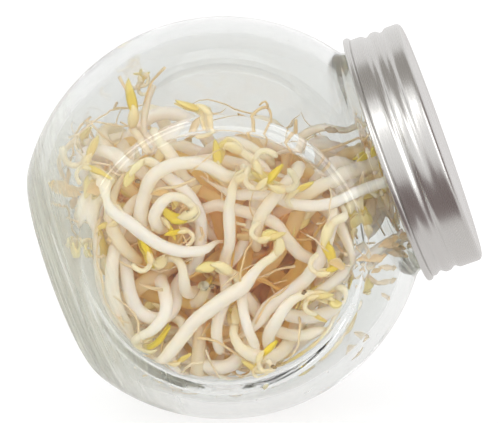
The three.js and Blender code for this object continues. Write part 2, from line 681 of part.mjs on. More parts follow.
function pushApart([one, other], clear) {
  const [s, t] = nearestShares(one.a, one.b, other.a, other.b);
  const here = one.a.clone().lerp(one.b, s);
  const there = other.a.clone().lerp(other.b, t);
  const apart = here.sub(there);
  const distance = Math.max(apart.length(), TINY);
  const thick = THREE.MathUtils.lerp(one.thickA, one.thickB, s)
    + THREE.MathUtils.lerp(other.thickA, other.thickB, t);
  const lack = thick + clear - distance;
  if (lack > 0) {
    const shares = [1 - s, s, 1 - t, t];
    const weight = one.ease * (shares[0] ** 2 + shares[1] ** 2)
      + other.ease * (shares[2] ** 2 + shares[3] ** 2);
    apart.multiplyScalar(lack / (distance * weight));
    one.a.addScaledVector(apart, shares[0] * one.ease);
    one.b.addScaledVector(apart, shares[1] * one.ease);
    other.a.addScaledVector(apart, -shares[2] * other.ease);
    other.b.addScaledVector(apart, -shares[3] * other.ease);
  }
}

function keepDistance(a, b, rest, strength) {
  const along = b.clone().sub(a);
  const distance = Math.max(along.length(), TINY);
  along.multiplyScalar((strength * 0.5 * (distance - rest)) / distance);
  a.add(along);
  b.sub(along);
}

function keepShape(strand) {
  const { points } = strand;
  for (let i = 0; i < points.length - 1; i += 1) {
    keepDistance(points[i], points[i + 1], strand.gaps[i], LENGTH_KEPT);
  }
  for (let i = 0; i < points.length - 2; i += 1) {
    keepDistance(points[i], points[i + 2], strand.spans[i], BEND_KEPT);
  }
}

function keepInside(strand, heapSlack) {
  const inward = new THREE.Vector3();
  strand.points.forEach((point, i) => {
    const [, thick, width] = strand.stations[i];
    const lack = thick * Math.max(width, 1) + WALL_CLEAR - hollowDepth(point, inward);
    if (lack > 0) {
      point.addScaledVector(inward, lack);
    }
    const above = point.z - heapTop(point.x) - heapSlack;
    if (above > 0 && !strand.isFront) {
      point.z -= HEAP_PUSH * above;
    }
    const cornered = point.dot(CORNER_WAY) - CORNER_AT;
    if (cornered > 0 && point.dot(lidAxis) < NECK_START) {
      point.addScaledVector(CORNER_WAY, -HEAP_PUSH * cornered);
    }
  });
}

function prepare(strand) {
  const { points } = strand;
  strand.isFront = strand.name.includes("front");
  strand.ease = strand.isFront ? FRONT_EASE : 1;
  strand.marks = points.map((point) => (strand.isHeld(point) ? point.clone() : null));
  strand.gaps = points.slice(1).map((point, i) => point.distanceTo(points[i]));
  strand.spans = points.slice(2).map((point, i) => point.distanceTo(points[i]));
}

function settle(strands) {
  strands.forEach(prepare);
  const stretches = makeStretches(strands);
  let pairs = [];
  for (let round = 0; round < SETTLE_ROUNDS + LAST_ROUNDS; round += 1) {
    const isLast = round >= SETTLE_ROUNDS;
    const isHolding = round < SETTLE_ROUNDS * 0.8;
    if (round % PAIRS_EVERY === 0) {
      pairs = findNeighbours(stretches);
    }
    for (const strand of strands) {
      if (!isLast) {
        keepShape(strand);
      }
      if (isHolding) {
        strand.marks.forEach((mark, i) => mark && strand.points[i].lerp(mark, HOLD));
      }
    }
    for (const pair of pairs) {
      pushApart(pair, SPROUT_CLEAR);
    }
    for (const strand of strands) {
      keepInside(strand, isLast ? 4 : 1.5);
    }
  }
}

// ---- Putting it together --------------------------------------------------------------------------

function named(name, geometry, material) {
  const mesh = new THREE.Mesh(geometry, material);
  mesh.name = name;
  return mesh;
}

const object = new THREE.Group();

const standing = new THREE.Group(); // the jar on its foot: its axis, +Y in here, points up
standing.rotation.x = Math.PI / 2;
standing.add(named("glass_jar", makeGlassJar(), glass));
standing.add(named("metal_lid", makeLid(), metal));
standing.add(named("lid_liner", makeLiner(), softLiner));

const lying = new THREE.Group();
lying.position.copy(centreHeight);
lying.rotation.y = Math.PI / 2 - TILT;
lying.add(standing);
object.add(lying);

const heap = new THREE.Group();
heap.position.copy(centreHeight);
const random = seeded(28);
const strands = [...layFrontSprouts(random), ...layFillSprouts(random)];
settle(strands);
for (const strand of strands) {
  heap.add(named(strand.name, makeSprout(strand), sproutWhite));
}
object.add(heap);

export default object;
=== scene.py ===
# %% [markdown]
# # A small ball-shaped jar of mung bean sprouts
#
# The jar is blown glass: a ball with a flat round window pressed into its front and its back, a thick
# flat foot, and a short neck with a screw thread under a satin metal lid. It lies on its belly, with
# the lid up to the right, and it is about three quarters full of bean sprouts.
#
# The CAD part is the fixed frame of this scene. It says where the jar, the lid and every sprout lie,
# and each cell below dresses one of them. Everything is in metres, in the part's own frame: +X goes
# towards the lid, -Y towards the viewer and +Z up, and the jar rests on the origin.

# %% Load the fixed frame
import json
import math
import random
from collections import namedtuple

import bmesh
import bpy
import numpy
from mathutils import Matrix, Quaternion, Vector, geometry, noise

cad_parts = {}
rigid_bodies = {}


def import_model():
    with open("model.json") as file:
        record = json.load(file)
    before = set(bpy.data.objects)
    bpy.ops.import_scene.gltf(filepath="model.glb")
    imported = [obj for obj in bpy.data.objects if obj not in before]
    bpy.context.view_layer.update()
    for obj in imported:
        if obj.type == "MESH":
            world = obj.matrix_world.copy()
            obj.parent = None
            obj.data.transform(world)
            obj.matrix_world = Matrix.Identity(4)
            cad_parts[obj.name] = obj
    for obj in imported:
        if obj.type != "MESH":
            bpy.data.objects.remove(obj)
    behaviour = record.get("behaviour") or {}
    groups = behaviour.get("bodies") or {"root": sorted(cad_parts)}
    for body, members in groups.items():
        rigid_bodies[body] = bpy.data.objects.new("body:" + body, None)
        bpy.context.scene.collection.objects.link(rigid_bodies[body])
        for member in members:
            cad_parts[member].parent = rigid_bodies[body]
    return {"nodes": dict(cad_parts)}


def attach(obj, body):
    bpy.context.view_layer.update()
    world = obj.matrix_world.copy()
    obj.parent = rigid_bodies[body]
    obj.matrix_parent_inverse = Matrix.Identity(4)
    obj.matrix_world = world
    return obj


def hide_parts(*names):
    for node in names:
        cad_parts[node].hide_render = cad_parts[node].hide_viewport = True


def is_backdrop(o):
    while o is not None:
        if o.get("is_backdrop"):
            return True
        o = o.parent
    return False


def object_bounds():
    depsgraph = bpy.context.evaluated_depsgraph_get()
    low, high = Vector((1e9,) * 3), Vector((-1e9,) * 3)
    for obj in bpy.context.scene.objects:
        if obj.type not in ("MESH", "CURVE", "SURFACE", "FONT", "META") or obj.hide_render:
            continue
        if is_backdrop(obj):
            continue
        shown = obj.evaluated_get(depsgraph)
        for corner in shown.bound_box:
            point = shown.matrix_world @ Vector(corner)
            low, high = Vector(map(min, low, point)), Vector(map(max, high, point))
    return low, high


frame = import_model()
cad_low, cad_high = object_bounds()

print("frame:", len(frame["nodes"]), "nodes")

# %% [markdown]
# ## Sizes
#
# A jar like this is drawn from a few circles and planes, all measured from the middle of its ball
# along its own axis. They could be measured on the CAD mesh, but its facets would blur them. So they
# are the same sizes that drive the CAD part, and the fine glass lands on the coarse one. Millimetres
# are easier to read than metres, so sizes are written as so many `MM`.

# %% The jar's driving sizes
MM = 0.001
TILT = math.radians(20.1)  # the jar's axis above the table
REST_HEIGHT = 38.7 * MM  # the ball's middle above the table, less than its radius: it rests on a flat
BALL_RADIUS = 40 * MM
BALL_WALL = 3.2 * MM
WINDOW_AT = 29.6 * MM  # the front and back windows, from the ball's middle
WINDOW_WALL = 3.0 * MM
FOOT_AT = 34.3 * MM
FOOT_WALL = 5.0 * MM
NECK_RADIUS = 22.5 * MM
NECK_BORE = 20.0 * MM
MOUTH_AT = 43.7 * MM  # the jar's rim
THREAD_PITCH = 3.0 * MM
FIT_GAP = 0.3 * MM  # between pieces that touch

ball_middle = Vector((0, 0, REST_HEIGHT))
lid_axis = Vector((math.cos(TILT), 0, math.sin(TILT)))
ball_bore = BALL_RADIUS - BALL_WALL
window_bore = WINDOW_AT - WINDOW_WALL
foot_bore = FOOT_AT - FOOT_WALL

# The turned pieces are made upright, on +Z, and then laid down by this matrix: its columns are where
# their X, Y and Z axes point in the part's frame.
laid_down = Matrix.Translation(ball_middle) @ Matrix((
    (math.sin(TILT), 0, math.cos(TILT)),
    (0, 1, 0),
    (-math.cos(TILT), 0, math.sin(TILT)),
)).to_4x4()
print("the ball is", round(2 * BALL_RADIUS / MM), "mm across")

# %% [markdown]
# ## The camera
#
# The viewer looks a little down on the jar through a long lens from three quarters of a metre, so
# there is hardly any perspective. A camera could be moved by hand until the jar fills the picture, but
# a worked-out one can be trusted and repeated: the lens comes from how many pixels of the picture's
# width one radian takes, and the aim is the ball's middle, shifted a few millimetres.

# %% Place the camera
PICTURE_WIDTH_PX = 500
PX_PER_RADIAN = 3773
SENSOR_WIDTH_MM = 36
CAMERA_DISTANCE = 750 * MM
CAMERA_ELEVATION = math.radians(15)
AIM_RIGHT = 5.19 * MM
AIM_UP = 1.19 * MM


def place_camera():
    camera = bpy.data.objects.new("camera", bpy.data.cameras.new("camera"))
    camera.data.sensor_width = SENSOR_WIDTH_MM
    camera.data.lens = SENSOR_WIDTH_MM * PX_PER_RADIAN / PICTURE_WIDTH_PX
    camera.data.clip_start = 10 * MM
    backward = Vector((0, -math.cos(CAMERA_ELEVATION), math.sin(CAMERA_ELEVATION)))
    turn = backward.to_track_quat("Z", "Y")
    aim = ball_middle + turn @ Vector((AIM_RIGHT, AIM_UP, 0))
    camera.matrix_world = Matrix.LocRotScale(aim + CAMERA_DISTANCE * backward, turn, None)
    bpy.context.scene.collection.objects.link(camera)
    bpy.context.scene.camera = camera
    return camera


print("lens:", round(place_camera().data.lens), "mm")

# %% [markdown]
# ## Sums of shader nodes
#
# A finish is a small program of nodes. It could be wired in the node editor or written node by node,
# but neither can be read as a sum. So short classes let us write sums as Python: `Value` wraps
# the socket that a number comes out of and adds a Math node for each operator, and `Wiring` holds
# one material and has one method that adds any node. `Finish` gives the nodes that are used most a
# plain name.

# %% Numbers that nodes put out
class Value:
    """A number that a node puts out, for use in plain sums."""

    def __init__(self, finish, socket):
        self.finish = finish
        self.socket = socket

    def sum_up(self, operation, first, second):
        return self.finish.add("ShaderNodeMath", {"operation": operation}, {0: first, 1: second})

    def __add__(self, other):
        return self.sum_up("ADD", self, other)

    def __sub__(self, other):
        return self.sum_up("SUBTRACT", self, other)

    def __rsub__(self, other):
        return self.sum_up("SUBTRACT", other, self)

    def __mul__(self, other):
        return self.sum_up("MULTIPLY", self, other)

    __radd__ = __add__
    __rmul__ = __mul__

    def between(self, low, high):
        """0 where this is at most low, 1 where it is at least high, and soft in between."""
        settings = {"interpolation_type": "SMOOTHSTEP"}
        return self.finish.add("ShaderNodeMapRange", settings, {0: self, 1: low, 2: high})


print("a value can:", [name for name in vars(Value) if name.strip("_") == name])

# %% One material and its wires
class Wiring:
    """One material, named for what it covers. `steady` sets the shader's even sockets."""

    def __init__(self, name, steady):
        self.material = bpy.data.materials.new(name)
        self.material.use_nodes = True
        self.nodes = self.material.node_tree.nodes
        self.links = self.material.node_tree.links
        self.shader = self.nodes["Principled BSDF"]
        for socket, value in steady.items():
            self.shader.inputs[socket].default_value = value
        self.place = self.add("ShaderNodeTexCoord", output="Object")

    def add(self, kind, settings=None, sockets=None, output=0):
        """Adds a node, first its settings and then its sockets' values or links."""
        node = self.nodes.new(kind)
        for name, value in (settings or {}).items():
            setattr(node, name, value)
        for socket, value in (sockets or {}).items():
            self.feed(node.inputs[socket], value)
        return Value(self, node.outputs[output])

    def feed(self, socket, value):
        if isinstance(value, Value):
            self.links.new(value.socket, socket)
        elif hasattr(value, "__len__") and len(value) == 3 and len(socket.default_value) == 4:
            socket.default_value = (*value, 1)
        else:
            socket.default_value = value

    def shade(self, **varying):
        """Feeds the shader's varying sockets, such as Base_Color."""
        for name, value in varying.items():
            self.feed(self.shader.inputs[name.replace("_", " ")], value)

    def surface(self):
        """What the shader puts out."""
        return Value(self, self.shader.outputs[0])

    def show(self, shader):
        """Makes a shader the one that covers the surface."""
        self.feed(self.nodes["Material Output"].inputs["Surface"], shader)


print("wiring can:", [name for name in vars(Wiring) if name.strip("_") == name])

# %% Plain names for nodes
class Finish(Wiring):
    """A material whose patterns and mixtures have plain names."""

    def mark(self, name):
        """A number that the mesh carries at each of its points."""
        return self.add("ShaderNodeAttribute", {"attribute_name": name}, output="Fac")

    def cloud(self, scale, detail=2, where=None):
        """Soft random blotches from 0 to 1, so many to a metre."""
        sockets = {"Vector": where or self.place, "Scale": scale, "Detail": detail}
        return self.add("ShaderNodeTexNoise", None, sockets)

    def mix(self, share, first, second):
        """A colour between two."""
        sockets = {0: share, 6: first, 7: second}
        return self.add("ShaderNodeMix", {"data_type": "RGBA"}, sockets, output=2)

    def squeezed(self, scale):
        """The place with Z along the jar's axis, stretched or squeezed by a scale each way."""
        turned = self.add("ShaderNodeMapping", {"vector_type": "TEXTURE"}, {
            "Vector": self.place, "Location": tuple(ball_middle),
            "Rotation": (0, math.pi / 2 - TILT, 0)})
        return self.add("ShaderNodeVectorMath", {"operation": "MULTIPLY"}, {0: turned, 1: scale})

    def bump(self, height, depth, strength=1.0):
        """Raises the surface by height times depth."""
        sockets = {"Height": height, "Distance": depth, "Strength": strength}
        return self.add("ShaderNodeBump", None, sockets)

    def blend(self, share, first, second):
        """Two shaders mixed by a share from 0 to 1."""
        return self.add("ShaderNodeMixShader", None, {0: share, 1: first, 2: second})


print("a finish can:", [name for name in vars(Finish) if name.strip("_") == name])

# %% [markdown]
# ## Placing a finished piece
#
# Blender can make meshes by hand, by operators on the scene or in a bmesh. A bmesh needs no selection
# and no view, so each piece is made in one. When its shape is done, one function turns it into an
# object that sits at the origin, rides on its CAD body and stands for the CAD nodes that it dresses.

# %% Hand a piece over to the frame
def hand_over(name, mesh_maker, finishes, body, nodes):
    """Makes the bmesh an object that rides on a body and stands for the nodes."""
    bmesh.ops.recalc_face_normals(mesh_maker, faces=mesh_maker.faces)
    for face in mesh_maker.faces:
        face.smooth = True
    mesh = bpy.data.meshes.new(name)
    mesh_maker.to_mesh(mesh)
    mesh_maker.free()
    for finish in finishes:
        mesh.materials.append(finish.material)
    piece = bpy.data.objects.new(name, mesh)
    bpy.context.scene.collection.objects.link(piece)
    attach(piece, body)
    if nodes:
        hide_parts(*nodes)
    return piece


# %% [markdown]
# ## The glass jar
#
# A blown jar is a body of revolution with two windows pressed flat. It could be a sphere cut by
# booleans, but those leave ragged faces that show in clear glass. So we draw its outline, up the
# outside from the foot to the rim and down the inside, and spin it about its axis. Soft corners are
# curves through three points, and a corner's own place comes from the tangent of the ball where the
# curve leaves it.

# %% Draw soft outlines
def line_of(start, end, count):
    """So many points on a straight line, without its end."""
    return [tuple(Vector(start).lerp(Vector(end), i / count)) for i in range(count)]


def soft_corner(start, corner, end, count):
    """So many points on a curve from start towards the corner and on to the end, without its end."""
    points = geometry.interpolate_bezier(
        Vector(start), Vector(start).lerp(Vector(corner), 2 / 3),
        Vector(end).lerp(Vector(corner), 2 / 3), Vector(end), count + 1)
    return [tuple(point)[:2] for point in points[:-1]]


def ball_arc(radius, low, high, count):
    """So many points up a ball's side from one height to another, without its end."""
    start, end = math.acos(low / radius), math.acos(high / radius)
    angles = [start + (end - start) * i / count for i in range(count)]
    return [(radius * math.sin(angle), radius * math.cos(angle)) for angle in angles]


def on_ball(radius, height):
    return (math.sqrt(radius ** 2 - height ** 2), height)


def tangent_at(touch, radius, height):
    """Where the ball's tangent at a touching point crosses a height."""
    return ((radius ** 2 - height * touch[1]) / touch[0], height)


def tangent_beside(touch, radius, out):
    """Where the ball's tangent at a touching point is so far out from the axis."""
    return (out, (radius ** 2 - out * touch[0]) / touch[1])


print("where the ball meets the foot's plane:",
      [round(at / MM, 2) for at in on_ball(BALL_RADIUS, -FOOT_AT)])

# %% Draw the jar's outside
FOOT_FLAT_RADIUS = 18.4 * MM
FOOT_CORNER = 1.7 * MM  # how high the foot's rounded edge reaches
FOOT_DIP = 0.6 * MM  # the foot is a little hollow, and stands on a ring
SHOULDER_OUT = 1.5 * MM  # how far outside the neck the ball ends
RIM_ROUNDING = 0.7 * MM
NECK_START = 34.4 * MM


def jar_outside():
    foot_edge = on_ball(BALL_RADIUS, -FOOT_AT + FOOT_CORNER)
    shoulder = (NECK_RADIUS + SHOULDER_OUT, math.sqrt(
        BALL_RADIUS ** 2 - (NECK_RADIUS + SHOULDER_OUT) ** 2))
    rim_foot = MOUTH_AT - RIM_ROUNDING
    return [
        (0, -FOOT_AT + FOOT_DIP),
        (6 * MM, -FOOT_AT + 0.9 * FOOT_DIP),
        (11 * MM, -FOOT_AT + 0.6 * FOOT_DIP),
        (15 * MM, -FOOT_AT + 0.1 * FOOT_DIP),
        (16.5 * MM, -FOOT_AT),
        *soft_corner((FOOT_FLAT_RADIUS, -FOOT_AT),
                     tangent_at(foot_edge, BALL_RADIUS, -FOOT_AT), foot_edge, 6),
        *ball_arc(BALL_RADIUS, foot_edge[1], shoulder[1], 112),
        *soft_corner(shoulder, tangent_beside(shoulder, BALL_RADIUS, NECK_RADIUS),
                     (NECK_RADIUS, NECK_START), 5),
        *line_of((NECK_RADIUS, NECK_START), (NECK_RADIUS, rim_foot), 24),
        *soft_corner((NECK_RADIUS, rim_foot), (NECK_RADIUS, MOUTH_AT),
                     (NECK_RADIUS - RIM_ROUNDING, MOUTH_AT), 4),
        (NECK_RADIUS - RIM_ROUNDING, MOUTH_AT),
    ]


print("points up the outside:", len(jar_outside()))

# %% Draw the jar's inside
BORE_OUT = 0.6 * MM  # how far outside the bore the hollow ball ends


def jar_inside():
    foot_edge = on_ball(ball_bore, -foot_bore + FOOT_CORNER)
    shoulder = (NECK_BORE + BORE_OUT, math.sqrt(ball_bore ** 2 - (NECK_BORE + BORE_OUT) ** 2))
    bore_end = (NECK_BORE, shoulder[1] + 1.2 * MM)
    rim_foot = MOUTH_AT - RIM_ROUNDING
    upward = [
        (0, -foot_bore),
        *line_of((7 * MM, -foot_bore), (19.5 * MM, -foot_bore), 3),
        *soft_corner((19.5 * MM, -foot_bore), tangent_at(foot_edge, ball_bore, -foot_bore),
                     foot_edge, 6),
        *ball_arc(ball_bore, foot_edge[1], shoulder[1], 104),
        *soft_corner(shoulder, tangent_beside(shoulder, ball_bore, NECK_BORE), bore_end, 4),
        *line_of(bore_end, (NECK_BORE, rim_foot), 8),
        *soft_corner((NECK_BORE, rim_foot), (NECK_BORE, MOUTH_AT),
                     (NECK_BORE + RIM_ROUNDING, MOUTH_AT), 4),
        (NECK_BORE + RIM_ROUNDING, MOUTH_AT),
    ]
    return upward[::-1]


print("points down the inside:", len(jar_inside()))

# %% Spin an outline and raise a thread
SIDES = 300
THREAD_HEIGHT = 0.8 * MM
GLASS_THREAD = {"start": 37.4 * MM, "turns": 1.1, "half_width": 1.2 * MM}
THREAD_FADE = 1 / 8  # of a turn, at each end


def spin_outlines(*outlines):
    """Spins outlines, end to end, about +Z. The layer `outline` says which one a point is from."""
    maker = bmesh.new()
    which = maker.verts.layers.int.new("outline")
    points = []
    for number, outline in enumerate(outlines):
        for radius, height in outline:
            point = maker.verts.new((radius, 0, height))
            point[which] = number
            points.append(point)
    edges = [maker.edges.new(pair) for pair in zip(points, points[1:])]
    bmesh.ops.spin(maker, geom=points + edges, axis=(0, 0, 1), cent=(0, 0, 0),
                   steps=SIDES, angle=2 * math.pi, use_merge=True)
    bmesh.ops.remove_doubles(maker, verts=maker.verts, dist=0.001 * MM)
    return maker


def thread_at(place, start, turns, half_width):
    """How far a screw thread stands up at a point: one ridge that climbs by the pitch in each turn."""
    turn = math.atan2(place.x, -place.y) / (2 * math.pi) % 1
    most = 0
    for lap in range(math.ceil(turns)):
        along = turn + lap
        ends = min(along, turns - along) / THREAD_FADE
        off = abs(place.z - (start + along * THREAD_PITCH)) / half_width
        if ends > 0 and off < 1:
            most = max(most, min(ends, 1) * 0.5 * (1 + math.cos(math.pi * off)))
    return most


print("the glass thread climbs", round(GLASS_THREAD["turns"] * THREAD_PITCH / MM, 1), "mm")

# %% [markdown]
# ## The windows
#
# Each window is a flat pane with a rounded edge, outside and inside the glass. Light bends at that
# edge, so it has to be smooth: we cut a cap off each wall of the ball with a plane, grow the cut edge
# inwards in rings along an arc, and close it with one flat face. The arc's own directions are noted
# on the points and used for shading, so that the pane looks flat right up to its edge.

# %% Cut the windows
WINDOW_SOFT = 3.5 * MM  # the rounding between a window and the ball
WINDOW_STEPS = 6


def window_edge(ball, flat):
    """The soft edge's rings, from the ball to the flat window: how wide, how far out, and how tilted."""
    most = math.acos((flat - WINDOW_SOFT) / (ball - WINDOW_SOFT))
    middle = (ball - WINDOW_SOFT) * math.sin(most)
    for step in range(WINDOW_STEPS + 1):
        tilt = most * (1 - step / WINDOW_STEPS)
        yield middle + WINDOW_SOFT * math.sin(tilt), flat - WINDOW_SOFT * (1 - math.cos(tilt)), tilt


def cut_window(maker, wall, side, ball, flat):
    """Cuts a cap off one wall of the ball and closes it with a soft edge and a flat window."""
    which, exact = maker.verts.layers.int["outline"], maker.verts.layers.float_vector["exact_normal"]
    rings = list(window_edge(ball, flat))
    skin = [face for face in maker.faces if all(point[which] == wall for point in face.verts)]
    parts = {part for face in skin for part in (*face.verts, *face.edges)}
    cut = bmesh.ops.bisect_plane(
        maker, geom=[*skin, *parts], plane_co=(0, side * rings[0][1], 0), plane_no=(0, side, 0),
        clear_outer=True, dist=0.001 * MM)["geom_cut"]
    rim = [part for part in cut if isinstance(part, bmesh.types.BMVert)]
    bmesh.ops.remove_doubles(maker, verts=rim, dist=0.15 * MM)
    edges = [edge for edge in maker.edges if edge.is_boundary]
    points = {point for edge in edges for point in edge.verts}
    for number, (wide, out, tilt) in enumerate(rings):
        if number > 0:
            grown = bmesh.ops.extrude_edge_only(maker, edges=edges)["geom"]
            points = {part for part in grown if isinstance(part, bmesh.types.BMVert)}
            edges = [part for part in grown if isinstance(part, bmesh.types.BMEdge)
                     and points.issuperset(part.verts)]
        for point in points:
            way = Vector((point.co.x, 0, point.co.z)).normalized()
            point.co = way * wide + Vector((0, side * out, 0))
            facing = way * math.sin(tilt) + Vector((0, side * math.cos(tilt), 0))
            point[exact] = facing if wall == 0 else -facing
            point[which] = wall
    bmesh.ops.edgeloop_fill(maker, edges=edges)


print("the pane is", round(2 * list(window_edge(BALL_RADIUS, WINDOW_AT))[-1][0] / MM, 1), "mm across")

# %% Make the jar's shape
def make_jar_shape():
    maker = spin_outlines(jar_outside(), jar_inside())
    exact = maker.verts.layers.float_vector.new("exact_normal")
    for side in (-1, 1):
        cut_window(maker, 0, side, BALL_RADIUS, WINDOW_AT)
        cut_window(maker, 1, side, ball_bore, window_bore)
    which = maker.verts.layers.int["outline"]
    down = Vector((math.cos(TILT), 0, -math.sin(TILT)))
    for point in maker.verts:
        place = point.co
        outside = point[which] == 0
        if outside and place.z > NECK_START:
            swell = 1 + THREAD_HEIGHT * thread_at(place, **GLASS_THREAD) / NECK_RADIUS
            place.x *= swell
            place.y *= swell
        if outside and place.dot(down) > REST_HEIGHT:
            place += (REST_HEIGHT - place.dot(down)) * down
            point[exact] = (0, 0, 0)
        point[exact] = laid_down.to_3x3() @ point[exact]
    bmesh.ops.transform(maker, matrix=laid_down, verts=maker.verts)
    return maker


def use_exact_normals(mesh):
    """Shades the mesh by the noted directions, so that a window stays flat up to its edge."""
    noted = mesh.attributes["exact_normal"].data
    mesh.normals_split_custom_set_from_vertices([
        noted[i].vector if noted[i].vector.length > 0.5 else point.normal
        for i, point in enumerate(mesh.vertices)])
    mesh.attributes.remove(mesh.attributes["exact_normal"])


print("the lowest point of the glass is flattened", round((BALL_RADIUS - REST_HEIGHT) / MM, 1), "mm")

# %% [markdown]
# ## The glass finish
#
# Thick pressed glass is clear with a breath of grey-green, and its surface is never quite flat: it
# has broad soft waves and, round the foot, fine pressed lines and a streaky haze. A painted image
# could carry the streaks, but noise that is squeezed along the jar's axis makes them anywhere and at
# any size. The haze is a veil that scatters light to both sides, mixed over the clear glass. The upper
# half also has a coat, which lets the arcs of light on it gleam.

# %% Make the waves and the haze
FOOT_EDGE = 1.5 * MM  # up to here, lines and haze are at their full strength
LINES_END = 10 * MM
HAZE_END = 19 * MM
LINE_SPACING = 1.15 * MM
WAVE_DEPTH = 0.35 * MM


def height_in_jar(finish):
    """How far up the jar's own axis a point is, from the ball's middle."""
    along = finish.add("ShaderNodeVectorMath", {"operation": "DOT_PRODUCT"},
                       {0: finish.place, 1: tuple(lid_axis)}, output="Value")
    return along - lid_axis.dot(ball_middle)


def near_foot(height, end):
    """1 at the foot, fading to 0 so far up from it."""
    return 1 - height.between(-FOOT_AT + FOOT_EDGE, -FOOT_AT + end)


def glass_waves(finish, height):
    """Broad waves all over, and wobbling lines round the foot."""
    wobble = finish.cloud(55, 1)
    lines = finish.add("ShaderNodeMath", {"operation": "SINE"},
                       {0: height * (2 * math.pi / LINE_SPACING) + wobble * 14})
    waves = finish.cloud(60, 1) * 0.5 + lines * near_foot(height, LINES_END) * 0.03
    return finish.bump(waves, WAVE_DEPTH)


def glass_haze(finish, height):
    """How much of the veil covers the glass near the foot."""
    streak = finish.cloud(1, 3, finish.squeezed((40, 40, 1100))).between(0.35, 0.75)
    hairline = finish.cloud(1, 2, finish.squeezed((70, 70, 4200))).between(0.5, 0.72)
    return near_foot(height, HAZE_END) * (0.2 + streak * 0.32 + hairline * 0.25)


print("the haze reaches", round(100 * HAZE_END / (FOOT_AT + MOUTH_AT)), "% of the way up the jar")

# %% [markdown]
# ## Light through the glass
#
# Light bends twice on its way into the jar, and a renderer seldom finds that way from a lamp to the
# sprouts, so the jar would be dark inside. The lamps could be made stronger, but then the lid would
# glare. Instead a ray that only asks whether a lamp is in its way is let through, as if the glass
# weren't there, and the eye still sees the bending.

# %% Make the glass
GLASS_TINT = (0.825, 0.835, 0.82)
HAZE = (0.69, 0.71, 0.64)
GLEAM_START = REST_HEIGHT
GLEAM_FULL = REST_HEIGHT + 12 * MM
GLEAM = 0.8


def glass_finish():
    finish = Finish("jar_glass", {
        "Base Color": (*GLASS_TINT, 1), "Transmission Weight": 1, "IOR": 1.5,
    })
    height = height_in_jar(finish)
    smudge = finish.cloud(420, 3).between(0.66, 0.78) * finish.cloud(70, 1).between(0.5, 0.62)
    upward = finish.add("ShaderNodeSeparateXYZ", None, {0: finish.place}, output=2)
    finish.shade(Normal=glass_waves(finish, height), Roughness=smudge * 0.16,
                 Coat_Weight=upward.between(GLEAM_START, GLEAM_FULL) * GLEAM)
    front = finish.add("ShaderNodeBsdfDiffuse", None, {"Color": HAZE})
    back = finish.add("ShaderNodeBsdfTranslucent", None, {"Color": HAZE})
    veil = finish.blend(0.5, front, back)
    hazy = finish.blend(glass_haze(finish, height) + smudge * 0.1, finish.surface(), veil)
    clear = finish.add("ShaderNodeBsdfTransparent")
    is_shadow = finish.add("ShaderNodeLightPath", output="Is Shadow Ray")
    finish.show(finish.blend(is_shadow, hazy, clear))
    return finish


jar = hand_over("jar_clear_glass", make_jar_shape(), [glass_finish()], "jar",
                ["glass_jar"])
use_exact_normals(jar.data)
print("glass jar:", len(jar.data.polygons), "faces")

# %% [markdown]
# ## The metal lid
#
# The lid is pressed from one sheet of tinplate: a flat top with a low bead round it, a straight skirt
# with the screw thread rolled into it as a groove, and an edge that is curled outwards so that it
# isn't sharp. A separate coil could stand for the thread, but it would lie on the sheet instead of
# being pressed into it. So the lid is spun like the jar, and the same thread rule pulls both sides of
# its sheet inwards.

# %% Draw the lid's outline
LID_RADIUS = 24.75 * MM
LID_SHEET = 0.65 * MM
LID_RIM = 34.1 * MM
LID_CURL_OUT = 0.6 * MM
LINER_THICKNESS = 0.85 * MM
lid_top = MOUTH_AT + LINER_THICKNESS + 2 * FIT_GAP + LID_SHEET
lid_bore = LID_RADIUS - LID_SHEET


def lid_outside():
    """Out over the top and its bead, down the skirt and round the curl."""
    shoulder = lid_top - 1.0 * MM
    curl = LID_RADIUS + LID_CURL_OUT
    curl_top = LID_RIM + 1.3 * MM
    bead_in = (LID_RADIUS - 2.8 * MM, lid_top + 0.1 * MM)
    bead_out = (LID_RADIUS - 1.4 * MM, lid_top + 0.15 * MM)
    return [
        (0, lid_top),
        (LID_RADIUS - 8 * MM, lid_top),
        *soft_corner((LID_RADIUS - 3.6 * MM, lid_top), (LID_RADIUS - 3.1 * MM, lid_top), bead_in, 3),
        *soft_corner(bead_in, (LID_RADIUS - 2.4 * MM, lid_top + 0.2 * MM), bead_out, 3),
        *soft_corner(bead_out, (LID_RADIUS, lid_top), (LID_RADIUS, shoulder), 6),
        *line_of((LID_RADIUS, shoulder), (LID_RADIUS, LID_RIM + 1.7 * MM), 30),
        *soft_corner((LID_RADIUS, LID_RIM + 1.7 * MM), (LID_RADIUS, curl_top),
                     (LID_RADIUS - 0.2 * MM, curl_top), 3),
        *soft_corner((LID_RADIUS - 0.2 * MM, curl_top), (curl, curl_top),
                     (curl, LID_RIM + 0.55 * MM), 6),
        *soft_corner((curl, LID_RIM + 0.55 * MM), (curl, LID_RIM), (LID_RADIUS, LID_RIM), 5),
    ]


def lid_inside():
    """Up inside the skirt and in under the top."""
    top, corner_out, corner_in = lid_top - LID_SHEET, lid_top - 1.2 * MM, lid_bore - 0.9 * MM
    return [
        *soft_corner((LID_RADIUS, LID_RIM), (lid_bore, LID_RIM), (lid_bore, LID_RIM + 0.6 * MM), 5),
        *line_of((lid_bore, LID_RIM + 0.6 * MM), (lid_bore, corner_out), 30),
        *soft_corner((lid_bore, corner_out), (lid_bore, top), (corner_in, top), 4),
        (corner_in, top),
        (0, top),
    ]


print("lid:", round((lid_top - LID_RIM) / MM, 1), "mm high")

# %% Spin the lid and roll its groove
LID_THREAD = {"start": 36.5 * MM, "turns": 2.03, "half_width": 1.15 * MM}
LID_GROOVE_DEPTH = 0.6 * MM


